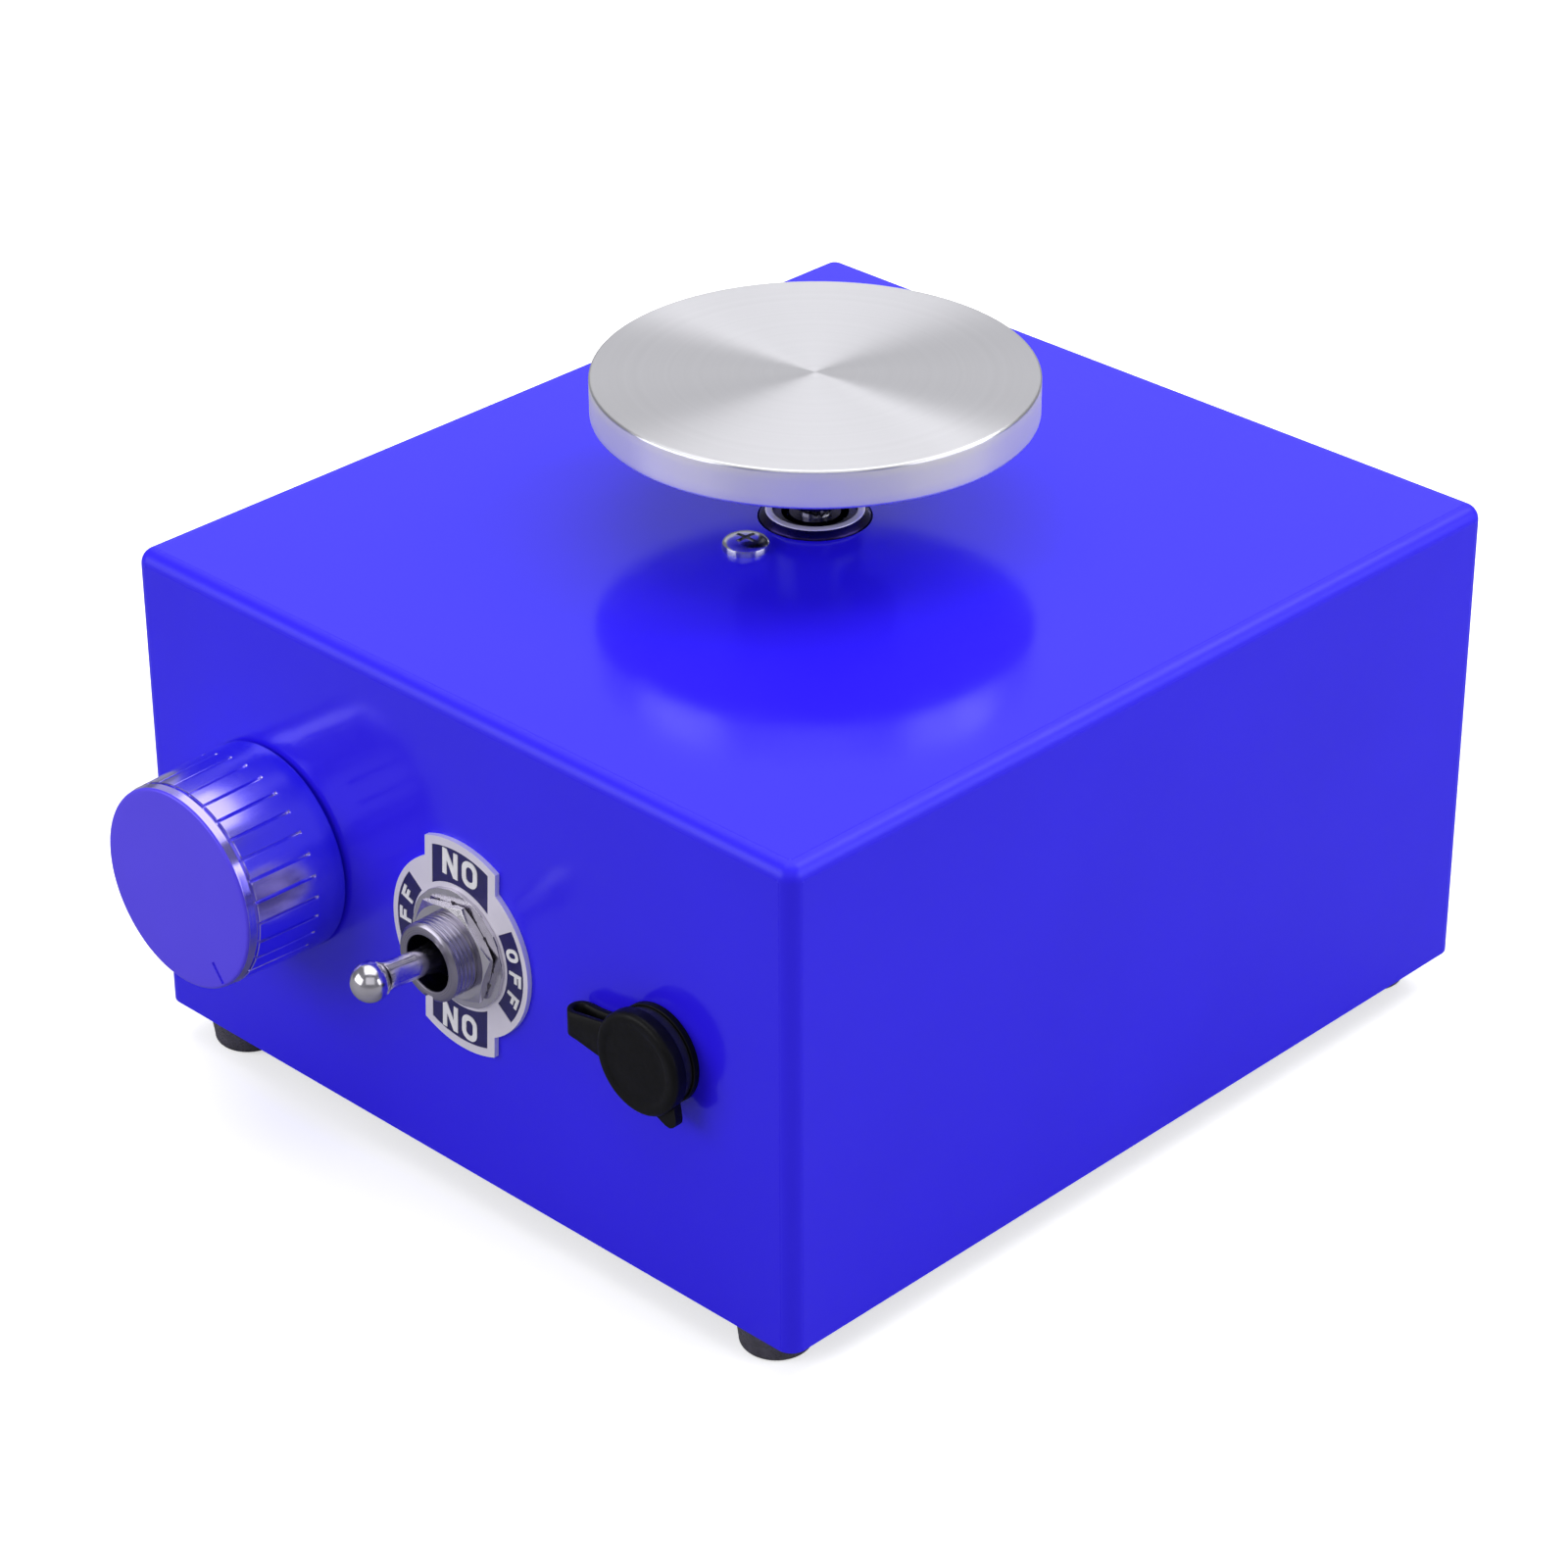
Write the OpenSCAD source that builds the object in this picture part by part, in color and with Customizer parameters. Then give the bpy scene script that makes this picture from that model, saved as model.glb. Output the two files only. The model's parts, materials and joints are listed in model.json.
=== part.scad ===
// Miniature pottery wheel: a small powder-coated case with a motor under its top,
// an aluminium turntable above it, and a speed knob, a three-position switch and a
// capped power socket on the front panel. The panel faces -Y, and the origin is on
// the ground under the middle of the whole object.

/* [Case] */
// Width of the case, left to right
case_w = 133; // [128:1:150]
// Depth of the case, front to back
case_d = 147.5; // [140:0.5:170]
// Height of the case without its feet
case_h = 77; // [74:1:90]
// Thickness of the case sheet
wall = 1.5; // [1.2:0.1:1.8]
// Radius of the case's outer edges
edge_r = 2.5; // [2:0.1:4]

/* [Feet] */
// Diameter of a foot where it meets the case
foot_d = 11.8; // [10:0.2:14]
// Height of a foot
foot_h = 6.2; // [5:0.2:8]
// Distance from the case's side to a foot's centre
foot_inset_x = 10.1; // [9:0.1:14]
// Distance from the case's front or back to a foot's centre
foot_inset_y = 7.3; // [7.3:0.1:12]

/* [Turntable] */
// Diameter of the turntable
disc_d = 65.6; // [60:0.1:75]
// Thickness of the turntable
disc_t = 6; // [4:0.1:8]
// Height of the turntable's underside above the case
disc_gap = 17.1; // [16:0.1:22]
// Left-to-right place of the turning axis
axis_x = -2.3; // [-4:0.1:4]
// Distance of the turning axis behind the case's middle
axis_back = 2.4; // [-4:0.1:6]

/* [Motor] */
// Diameter of the motor can
can_d = 42; // [40:1:44]
// Length of the motor can with its end cap
can_l = 57; // [55:1:60]
// Diameter of the front boss, which stands up through the case
boss_d = 16.6; // [16:0.1:17.5]
// Distance that the boss stands above the case
boss_proud = 1.3; // [1:0.1:2]
// Diameter of the hole in the case around the boss
top_hole_d = 17; // [16.8:0.1:18]
// Spacing of the two fixing screws
screw_spacing = 29; // [28.5:0.1:29.5]
// Direction of the fixing screws, in degrees from +X
screw_turn = 270; // [0:1:360]

/* [Front panel] */
// Height of the row of controls above the case's underside
row_h = 38.8; // [36:0.1:40]
// Left-to-right place of the speed knob
knob_x = -38.2; // [-40:0.1:-36]
// Left-to-right place of the switch
switch_x = 2.5; // [0:0.1:4]
// Left-to-right place of the power socket
jack_x = 42; // [40:0.1:44]

/* [Speed knob] */
// Diameter of the knob at its base
knob_d = 32.4; // [30:0.2:34]
// Diameter of the knob's face
knob_face_d = 31; // [28:0.2:32]
// Distance that the knob's face stands off the panel
knob_proud = 18.3; // [17:0.1:20]
// Number of grooves in the grip
grip_grooves = 30; // [20:1:40]
// Direction of the pointer mark, in degrees from +X as seen from the front
mark_angle = -53; // [-60:1:240]
// Length of the pointer mark, which runs out to the edge of the knob's face
mark_l = 3.4; // [2:0.1:8]

/* [Switch] */
// Distance that the threaded bushing stands off the panel
bushing_proud = 7; // [6.5:0.1:8]
// Upward tilt of the lever as it stands, in degrees
lever_rest = 6; // [-12:1:12]
// Distance from the panel to the middle of the lever's ball
ball_reach = 17.4; // [16:0.1:19]
// Diameter of the lever's ball
ball_d = 5.9; // [4.8:0.1:6]
// Turn of the legend plate, anticlockwise as seen from the front
plate_turn = -3; // [-6:1:6]

/* [Power socket] */
// Diameter of the rubber cap
cap_d = 15.5; // [15:0.1:17]
// Distance from the socket's middle to the fold of the cap's strap
strap_reach = 13.5; // [13:0.1:15]

/* [Hidden] */
$fn = 64;
eps = 0.01;
// Heights
case_z = foot_h;
top_z = case_z + case_h;
roof_z = top_z - wall;
disc_z = top_z + disc_gap;
floor_t = 1.5;
floor_z = case_z + floor_t;
row_z = case_z + row_h;
// The front reach of the lever sets how far back the case sits
case_y = (ball_reach + ball_d / 2) / 2;
panel_y = case_y - case_d / 2;
axis_y = case_y + axis_back;
// Fasteners
m3_r = 1.5;
m3_head_r = 2.9;
m3_head_h = 1.9;
m3_nut_af = 5.5;
m3_nut_h = 2.4;
m4_r = 2;
m4_head_r = 3.5;
m4_head_h = 1.7;
// Case tabs for the floor screws
tab_l = 10;
tab_w = 8;
tab_t = 2;
tab_side_y = 40;
tab_end_x = 22;
// Motor
can_wall = 1.5;
can_r = can_d / 2;
end_cap_h = 4;
can_low_z = roof_z - can_l;
end_cap_z = can_low_z + end_cap_h;
boss_h = wall + boss_proud;
shaft_r = 2.5;
shaft_low_z = can_low_z - 1.5;
shaft_top_z = disc_z - 0.5;
run = 0.05;
bearing_r = 6.3;
bearing_h = 3;
bearing_z = roof_z + boss_h - 0.6 - bearing_h;
ball_track_r = 4.4;
race_ball_r = 0.5;
core_r = 15;
core_l = 27;
core_z = end_cap_z + 12;
slots = 5;
slot_at = 9.5;
slot_r = 3;
magnet_in_r = 15.6;
magnet_out_r = can_r - can_wall - 0.1;
comm_r = 4.2;
comm_z = end_cap_z + 1.5;
comm_h = 5.5;
// Turntable hub
hub_r = 7;
hub_flange_r = 12;
hub_flange_t = 3;
hub_l = 13;
hub_screw_ring = 9.5;
// Knob
knob_gap = 0.5;
skirt_h = 5;
groove_z = knob_proud - 2.1;
groove_w = 0.5;
groove_d = 0.45;
flute_w = 0.5;
flute_d = 0.45;
cup_r = 13.4;
cup_top = knob_proud - 3.2;
insert_z = 4.8;
insert_r = 6.4;
set_screw_z = 9;
set_screw_turn = -150;
pot_shaft_r = 3;
pot_thread_r = 3.5;
pot_thread_top = 4.2;
pot_r = 8.3;
pot_depth = 7.5;
pot_skin = 0.9;
pot_face = 1.2;
// Switch
thread_r = 6;
mouth_r = 4.3;
plate_t = 0.8;
plate_r = 13.9;
tab_reach = 16.9;
tab_half = 7.2;
washer_t = 0.6;
nut_z = plate_t + washer_t;
nut_t = 1.6;
pivot_z = 1.5;
pivot_r = 4;
pivot_pin_r = 0.75;
frame_z = -5;
frame_t = 1;
body_x = 17;
body_y = 28;
body_z = frame_z - frame_t;
body_h = 16;
body_low = body_z - body_h;
body_floor = body_low + 2.5;
plunger_low = -12;
rocker_z = -14.9;
// The contacts tilt the other way by this share of the lever's tilt
rocker_rest = 0.8 * lever_rest;
rocker_t = 0.8;
rocker_x = 3.6;
rocker_end = 7.5;
// Socket and cap
strap_t = 1.1;
flange_r = 7;
flange_top = 2.6;
barrel_r = 5.8;
barrel_low = -12;
socket_r = 3.3;
pin_r = 1.05;
pin_top = 1.5;
cap_low = flange_top + 0.1;
cap_top = 5.1;
hinge_z = 2.1;
strap_in_r = 1;
strap_out_r = 1.85;
strap_half = 2;
knuckle_half = 0.75;
knuckle_gap = 0.95;
knuckle_clear = 2.3;
// Circuit board
board_w = 60;
board_d = 38;
board_t = 1.6;
standoff_h = 6;
board_y = case_y + 45;
board_z = floor_z + standoff_h;
board_top = board_z + board_t;
wire_r = 0.8;

// Points along an arc
function arc(cx, cy, r, a0, a1, n = 6) =
    [for (i = [0:n]) let (a = a0 + (a1 - a0) * i / n) [cx + r * cos(a), cy + r * sin(a)]];
// Rectangle with four round corners, centred
function round_rect(w, h, r) = concat(
    arc(w / 2 - r, h / 2 - r, r, 0, 90), arc(r - w / 2, h / 2 - r, r, 90, 180),
    arc(r - w / 2, r - h / 2, r, 180, 270), arc(w / 2 - r, r - h / 2, r, 270, 360));
// Rectangle standing on y = 0 with its two upper corners round
function round_top(w, h, r) = concat([[-w / 2, 0], [w / 2, 0]],
    arc(w / 2 - r, h - r, r, 0, 90), arc(r - w / 2, h - r, r, 90, 180));
// Places of the feet, as [left or right, front or rear]
function foot_xy(sx, sy) =
    [sx * (case_w / 2 - foot_inset_x), case_y + sy * (case_d / 2 - foot_inset_y)];
FEET = [for (sx = [-1, 1], sy = [-1, 1]) foot_xy(sx, sy)];
// Places of the floor screws
TABS = concat(
    [for (sx = [-1, 1], sy = [-1, 1])
        [sx * (case_w / 2 - wall - tab_w / 2), case_y + sy * tab_side_y, 0]],
    [for (sy = [-1, 1])
        [tab_end_x, case_y + sy * (case_d / 2 - wall - tab_w / 2), 90]]);
// Smooth curve through control points, four steps to a span
function mid_curve(p, i, t) =
    let (a = p[max(i - 1, 0)], b = p[i], c = p[i + 1], d = p[min(i + 2, len(p) - 1)])
    0.5 * (2 * b + (c - a) * t + (2 * a - 5 * b + 4 * c - d) * t * t
        + (3 * b - a - 3 * c + d) * t * t * t);
function curve(p) = concat(
    [for (i = [0:len(p) - 2], s = [0:3]) mid_curve(p, i, s / 4)], [p[len(p) - 1]]);
function unit(v) = v / norm(v);

// Places things on the front panel: x to the right, y up, z out of the panel
module on_panel(x) {
    translate([x, panel_y, row_z]) rotate([90, 0, 0]) children();
}

// Box standing on z = 0 with round upright and upper edges
module rounded_box(w, d, h, r) {
    intersection() {
        linear_extrude(h) polygon(round_rect(w, d, r));
        rotate([90, 0, 0]) linear_extrude(d, center = true) polygon(round_top(w, h, r));
        rotate([90, 0, 90]) linear_extrude(w, center = true) polygon(round_top(d, h, r));
    }
}

// Washer or sleeve standing on z = 0
module ring(outer, inner, h) {
    difference() {
        cylinder(r = outer, h = h);
        translate([0, 0, -1]) cylinder(r = inner, h = h + 2);
    }
}

// Hexagonal nut with turned corners, standing on z = 0
module hex_nut(af, h, bore) {
    corner = af / sqrt(3);
    difference() {
        intersection() {
            cylinder(r = corner, h = h, $fn = 6);
            union() {
                cylinder(r1 = corner - 0.5, r2 = corner + 0.1, h = 0.5);
                translate([0, 0, 0.5]) cylinder(r = corner + 0.1, h = h - 1);
                translate([0, 0, h - 0.5])
                    cylinder(r1 = corner + 0.1, r2 = corner - 0.5, h = 0.5);
            }
        }
        translate([0, 0, -1]) cylinder(r = bore, h = h + 2);
    }
}

// Pan-head screw with a cross recess: head above z = 0, shank below
module pan_screw(shank_l, r = m3_r, head_r = m3_head_r, head_h = m3_head_h) {
    arm = head_r / 2;
    difference() {
        union() {
            cylinder(r = head_r, h = head_h * 0.55);
            translate([0, 0, head_h * 0.55])
                cylinder(r1 = head_r, r2 = head_r * 0.72, h = head_h * 0.45);
            translate([0, 0, -shank_l]) cylinder(r = r, h = shank_l + eps);
        }
        for (a = [0, 90]) rotate([0, 0, a])
            translate([-arm, -arm / 5, head_h - 1]) cube([2 * arm, arm / 2.5, 2]);
    }
}

// Round wire along a smooth curve through control points
module wire(points) {
    sides = 8;
    path = curve(points);
    last = len(path) - 1;
    rings = [for (i = [0:last])
        let (t = unit(path[min(i + 1, last)] - path[max(i - 1, 0)]),
            u = unit(cross(t, [0.31, 0.53, 0.79])), v = cross(t, u))
        for (s = [0:sides - 1])
            path[i] + wire_r * (cos(360 * s / sides) * u + sin(360 * s / sides) * v)];
    faces = concat(
        [[for (s = [0:sides - 1]) s]],
        [for (i = [0:last - 1], s = [0:sides - 1]) let (n = (s + 1) % sides)
            [i * sides + n, i * sides + s, (i + 1) * sides + s, (i + 1) * sides + n]],
        [[for (s = [0:sides - 1]) (last + 1) * sides - 1 - s]]);
    polyhedron(rings, faces, convexity = 6);
}

module case_shell() {
    color("blue") difference() {
        union() {
            difference() {
                translate([0, case_y, case_z]) rounded_box(case_w, case_d, case_h, edge_r);
                translate([0, case_y, case_z - 1]) rounded_box(case_w - 2 * wall,
                    case_d - 2 * wall, case_h - wall + 1, edge_r - wall);
            }
            for (t = TABS) translate([t[0], t[1], floor_z]) rotate([0, 0, t[2]])
                translate([-tab_w / 2 - wall / 3, -tab_l / 2, 0])
                    cube([tab_w + 2 * wall / 3, tab_l, tab_t]);
        }
        for (t = TABS) translate([t[0], t[1], floor_z - 1])
            cylinder(r = m3_r, h = tab_t + 2);
        translate([axis_x, axis_y, roof_z - 1]) cylinder(d = top_hole_d, h = wall + 2);
        for (a = [0, 180]) translate([axis_x, axis_y, roof_z - 1])
            rotate([0, 0, screw_turn + a]) translate([screw_spacing / 2, 0, 0])
                cylinder(r = m4_r + 0.15, h = wall + 2);
        on_panel(knob_x) translate([0, 0, -wall - 1])
            cylinder(r = pot_thread_r + 0.1, h = wall + 2);
        on_panel(switch_x) translate([0, 0, -wall - 1])
            cylinder(r = thread_r + 0.1, h = wall + 2);
        on_panel(jack_x) translate([0, 0, -wall - 1])
            cylinder(r = barrel_r + 0.1, h = wall + 2);
    }
}

module base_plate() {
    slack = 0.1;
    color("darkslateblue") difference() {
        translate([0, case_y, case_z]) linear_extrude(floor_t)
            polygon(round_rect(case_w - 2 * wall - 2 * slack,
                case_d - 2 * wall - 2 * slack, edge_r - wall));
        for (p = FEET) translate([p[0], p[1], case_z - 1])
            cylinder(r = m3_r + 0.1, h = floor_t + 2);
        for (t = TABS) translate([t[0], t[1], case_z - 1])
            cylinder(r = m3_r + 0.1, h = floor_t + 2);
        for (sx = [-1, 1], sy = [-1, 1])
            translate([sx * (board_w / 2 - 4), board_y + sy * (board_d / 2 - 4), case_z - 1])
                cylinder(r = m3_r + 0.1, h = floor_t + 2);
    }
}

module base_screws() {
    color("silver") for (t = TABS)
        translate([t[0], t[1], case_z]) rotate([180, 0, 0]) pan_screw(floor_t + tab_t + 1);
}

// Rubber foot with a round lower edge and a recess for its screw
module foot(sx, sy) {
    r = foot_d / 2;
    low_r = r - 0.6;
    soft = 1.2;
    recess = foot_h - 2;
    p = foot_xy(sx, sy);
    color("dimgray") translate([p[0], p[1], 0]) rotate_extrude() polygon(concat(
        [[m3_head_r + 0.2, 0]],
        arc(low_r - soft, soft, soft, 270, 360, 5),
        [[r, foot_h - 0.4], [r - 0.3, foot_h], [m3_r + 0.1, foot_h],
            [m3_r + 0.1, recess], [m3_head_r + 0.2, recess]]));
}
module foot_front_left() { foot(-1, -1); }
module foot_front_right() { foot(1, -1); }
module foot_rear_left() { foot(-1, 1); }
module foot_rear_right() { foot(1, 1); }

module foot_screws() {
    color("silver") for (p = FEET)
        translate([p[0], p[1], foot_h - 2]) rotate([180, 0, 0])
            pan_screw(2 + floor_t + m3_nut_h + 0.8);
}

module foot_nuts() {
    color("silver") for (p = FEET)
        translate([p[0], p[1], floor_z]) hex_nut(m3_nut_af, m3_nut_h, m3_r);
}

module motor_can() {
    shoulder = boss_proud - 0.15;
    color("lightgray") translate([axis_x, axis_y, 0]) difference() {
        union() {
            translate([0, 0, end_cap_z]) cylinder(r = can_r, h = can_l - end_cap_h);
            translate([0, 0, roof_z - eps])
                cylinder(d = boss_d, h = boss_h - shoulder + eps);
            translate([0, 0, roof_z + boss_h - shoulder])
                cylinder(d1 = boss_d, d2 = boss_d - 2 * shoulder, h = shoulder);
        }
        translate([0, 0, end_cap_z - 1])
            cylinder(r = can_r - can_wall, h = can_l - end_cap_h - can_wall + 1);
        translate([0, 0, bearing_z]) cylinder(r = bearing_r, h = boss_h + 1);
        translate([0, 0, roof_z - can_wall - 1])
            cylinder(r = bearing_r - 1.5, h = can_wall + 2);
        for (a = [0, 180]) rotate([0, 0, screw_turn + a])
            translate([screw_spacing / 2, 0, roof_z - can_wall - 1])
                cylinder(r = m4_r, h = can_wall + 2);
    }
}

module motor_end_cap() {
    color("black") translate([axis_x, axis_y, 0]) difference() {
        union() {
            translate([0, 0, can_low_z]) cylinder(r = can_r, h = end_cap_h);
            translate([0, 0, can_low_z - 3]) cylinder(r = 5.5, h = 3 + eps);
        }
        translate([0, 0, can_low_z - 2]) cylinder(r = 4, h = end_cap_h + 3);
        for (sx = [-1, 1]) translate([sx * 12, 0, can_low_z - 1])
            translate([-0.45, -2.4, 0]) cube([0.9, 4.8, end_cap_h + 2]);
    }
}

module rear_bushing() {
    color("goldenrod") translate([axis_x, axis_y, can_low_z - 2])
        ring(4, shaft_r + run, 5);
}

module motor_magnets() {
    color("dimgray") translate([axis_x, axis_y, core_z - 3]) for (a = [0, 180])
        rotate([0, 0, a - 65]) rotate_extrude(angle = 130)
            translate([magnet_in_r, 0]) square([magnet_out_r - magnet_in_r, core_l + 6]);
}

module motor_brushes() {
    color("dimgray") translate([axis_x, axis_y, comm_z + 0.8]) for (a = [0, 180])
        rotate([0, 0, a]) translate([comm_r + 0.1, -1.8, 0]) cube([8.7 - comm_r, 3.6, 4]);
}

module motor_terminals() {
    color("peru") translate([axis_x, axis_y, can_low_z]) for (sx = [-1, 1])
        translate([sx * 12 - 0.4, -2.35, -6]) cube([0.8, 4.7, end_cap_h + 8.5]);
}

module bearing_outer_ring() {
    color("silver") translate([axis_x, axis_y, bearing_z]) ring(bearing_r, ball_track_r + 0.6,
        bearing_h);
}

module bearing_inner_ring() {
    color("silver") translate([axis_x, axis_y, bearing_z]) ring(ball_track_r - 0.6, shaft_r,
        bearing_h);
}

module bearing_balls() {
    color("gray") translate([axis_x, axis_y, bearing_z + bearing_h / 2])
        for (i = [0:8]) rotate([0, 0, 40 * i]) translate([ball_track_r, 0, 0])
            sphere(r = race_ball_r, $fn = 32);
}

module motor_screws() {
    color("silver") translate([axis_x, axis_y, top_z]) for (a = [0, 180])
        rotate([0, 0, screw_turn + a]) translate([screw_spacing / 2, 0, 0])
            pan_screw(wall + can_wall + 2, m4_r, m4_head_r, m4_head_h);
}

module motor_shaft() {
    color("gainsboro") translate([axis_x, axis_y, shaft_low_z]) difference() {
        cylinder(r = shaft_r, h = shaft_top_z - shaft_low_z);
        translate([shaft_r - 0.4, -shaft_r, disc_z - hub_l - shaft_low_z])
            cube([1, 2 * shaft_r, hub_l + 1]);
    }
}

module armature_core() {
    color("slategray") translate([axis_x, axis_y, core_z]) difference() {
        cylinder(r = core_r, h = core_l);
        translate([0, 0, -1]) cylinder(r = shaft_r, h = core_l + 2);
        for (i = [0:slots - 1]) rotate([0, 0, 360 / slots * i]) {
            translate([slot_at, -1, -1]) cube([core_r, 2, core_l + 2]);
            translate([slot_at, 0, -1]) cylinder(r = slot_r, h = core_l + 2);
        }
    }
}

module armature_windings() {
    over = 3;
    color("chocolate") translate([axis_x, axis_y, core_z]) {
        for (z = [-over, core_l]) translate([0, 0, z])
            ring(slot_at + slot_r, shaft_r + 1.2, over);
        for (i = [0:slots - 1]) rotate([0, 0, 360 / slots * i])
            translate([slot_at, 0, -eps])
                cylinder(r = slot_r - 0.2, h = core_l + 2 * eps);
    }
}

module commutator() {
    color("peru") translate([axis_x, axis_y, comm_z]) difference() {
        ring(comm_r, shaft_r, comm_h);
        for (i = [0:slots - 1]) rotate([0, 0, 360 / slots * (i + 0.5)])
            translate([comm_r - 0.6, -0.2, -1]) cube([1, 0.4, comm_h + 2]);
    }
}

module turntable() {
    bevel = 0.6;
    r = disc_d / 2;
    color("whitesmoke") translate([axis_x, axis_y, disc_z]) difference() {
        rotate_extrude() polygon([[0, 0], [r - bevel, 0], [r, bevel], [r, disc_t - bevel],
            [r - bevel, disc_t], [0, disc_t]]);
        for (a = [0:120:240]) rotate([0, 0, a + 30]) translate([hub_screw_ring, 0, -1])
            cylinder(r = m3_r, h = 4.6);
    }
}

module turntable_hub() {
    color("dimgray") translate([axis_x, axis_y, disc_z - hub_l]) difference() {
        union() {
            cylinder(r = hub_r, h = hub_l);
            translate([0, 0, hub_l - hub_flange_t])
                cylinder(r = hub_flange_r, h = hub_flange_t);
        }
        translate([0, 0, -1]) cylinder(r = shaft_r, h = hub_l + 0.5);
        for (a = [0:120:240]) rotate([0, 0, a + 30])
            translate([hub_screw_ring, 0, hub_l - hub_flange_t - 1])
                cylinder(r = m3_r + 0.1, h = hub_flange_t + 2);
        translate([0, 0, 4]) rotate([0, 90, 0]) cylinder(r = 2, h = hub_r + 1);
    }
}

module hub_screws() {
    thread = 6;
    color("dimgray") translate([axis_x, axis_y, disc_z - hub_flange_t])
        for (a = [0:120:240]) rotate([0, 0, a + 30])
            translate([hub_screw_ring, 0, 0]) rotate([180, 0, 0]) difference() {
                union() {
                    cylinder(r = 2.3, h = 2.4);
                    translate([0, 0, -thread]) cylinder(r = m3_r, h = thread + eps);
                }
                translate([0, 0, 1.2]) cylinder(r = 1.4, h = 2, $fn = 6);
            }
}

module hub_set_screw() {
    color("dimgray") translate([axis_x + shaft_r - 0.4, axis_y, disc_z - hub_l + 4])
        rotate([0, 90, 0]) difference() {
            cylinder(r = 2, h = 4.4);
            translate([0, 0, 2.6]) cylinder(r = 1.1, h = 3, $fn = 6);
        }
}

module knob_shell() {
    r0 = knob_d / 2;
    r1 = knob_face_d / 2;
    soft = 0.5;
    slope = (r0 - r1 - 0.1) / (knob_proud - knob_gap);
    rise = function (z) r0 - slope * (z - knob_gap);
    color("mediumslateblue") on_panel(knob_x) difference() {
        rotate_extrude() polygon(concat(
            [[cup_r, knob_gap], [r0 - 0.3, knob_gap], [r0, knob_gap + 0.3],
                [rise(groove_z), groove_z], [rise(groove_z) - groove_d, groove_z],
                [rise(groove_z) - groove_d, groove_z + groove_w],
                [rise(groove_z + groove_w), groove_z + groove_w]],
            arc(r1 - soft, knob_proud - soft, soft, 0, 90, 4),
            [[0, knob_proud], [0, cup_top], [cup_r, cup_top]]));
        for (i = [0:grip_grooves - 1]) rotate([0, 0, 360 / grip_grooves * i])
            translate([r0 - slope * groove_z - flute_d, -flute_w / 2, skirt_h + knob_gap])
                cube([3, flute_w, groove_z - skirt_h - knob_gap + eps]);
        rotate([0, 0, mark_angle]) translate([r1 - soft - mark_l, -0.35, knob_proud - 0.3])
            cube([mark_l, 0.7, 1]);
        rotate([0, 0, set_screw_turn]) translate([0, 0, set_screw_z]) rotate([0, 90, 0])
            cylinder(r = 1.8, h = r0 + 1);
    }
}

module knob_insert() {
    color("goldenrod") on_panel(knob_x) difference() {
        translate([0, 0, insert_z]) cylinder(r = insert_r, h = cup_top - insert_z);
        translate([0, 0, insert_z - 1])
            cylinder(r = pot_shaft_r, h = cup_top - insert_z - 0.6);
        rotate([0, 0, set_screw_turn]) translate([0, 0, set_screw_z]) rotate([0, 90, 0])
            cylinder(r = m3_r, h = insert_r + 1);
    }
}

module knob_set_screw() {
    color("dimgray") on_panel(knob_x) rotate([0, 0, set_screw_turn])
        translate([0, 0, set_screw_z]) rotate([0, 90, 0])
            translate([0, 0, pot_shaft_r - 0.5]) difference() {
                cylinder(r = m3_r, h = 4);
                translate([0, 0, 2.4]) cylinder(r = 0.8, h = 3, $fn = 6);
            }
}

module pot_shaft() {
    color("silver") on_panel(knob_x) difference() {
        translate([0, 0, -wall - pot_depth + pot_skin + 0.4])
            cylinder(r = pot_shaft_r, h = cup_top - 1.8 + wall + pot_depth - pot_skin - 0.4);
        rotate([0, 0, set_screw_turn])
            translate([pot_shaft_r - 0.5, -4, pot_thread_top + 0.4]) cube([2, 8, 20]);
    }
}

module pot_wiper() {
    color("goldenrod") on_panel(knob_x) translate([0, 0, -wall - 4.6]) difference() {
        union() {
            cylinder(r = 5.6, h = 1.2);
            rotate([0, 0, mark_angle]) translate([0, -0.8, 0]) cube([6.6, 1.6, 0.6]);
        }
        translate([0, 0, -1]) cylinder(r = pot_shaft_r, h = 4);
    }
}

module pot_body() {
    color("gray") on_panel(knob_x) translate([0, 0, -wall - pot_depth]) difference() {
        union() {
            cylinder(r = pot_r, h = pot_depth);
            translate([-6.5, -13, pot_depth - 3.4]) cube([13, 9, 1.4]);
        }
        translate([0, 0, pot_skin])
            cylinder(r = pot_r - pot_skin, h = pot_depth - pot_skin - pot_face);
        translate([0, 0, pot_depth - 2]) cylinder(r = pot_thread_r, h = 4);
    }
}

module pot_bushing() {
    color("silver") on_panel(knob_x) translate([0, 0, -wall - pot_face])
        ring(pot_thread_r, pot_shaft_r + run, wall + pot_face + pot_thread_top);
}

module pot_washer() {
    color("silver") on_panel(knob_x) ring(6, pot_thread_r + 0.1, 0.6);
}

module pot_nut() {
    color("silver") on_panel(knob_x) translate([0, 0, 0.6])
        hex_nut(10, 2.2, pot_thread_r);
}

module pot_terminals() {
    color("lightgray") on_panel(knob_x) for (x = [-5, 0, 5])
        translate([x - 0.8, -18, -wall - 2.0]) cube([1.6, 9, 0.4]);
}

// Outline of the legend plate: a disc with a broad tab above and below
module plate_outline(r, reach, half) {
    circle(r = r);
    intersection() {
        circle(r = reach);
        square([2 * half, 2 * reach + 2], center = true);
    }
}

module legend_plate() {
    color("white") on_panel(switch_x) rotate([0, 0, plate_turn]) difference() {
        linear_extrude(plate_t) plate_outline(plate_r, tab_reach, tab_half);
        translate([0, 0, -1]) cylinder(r = thread_r + 0.1, h = plate_t + 2);
    }
}

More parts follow.
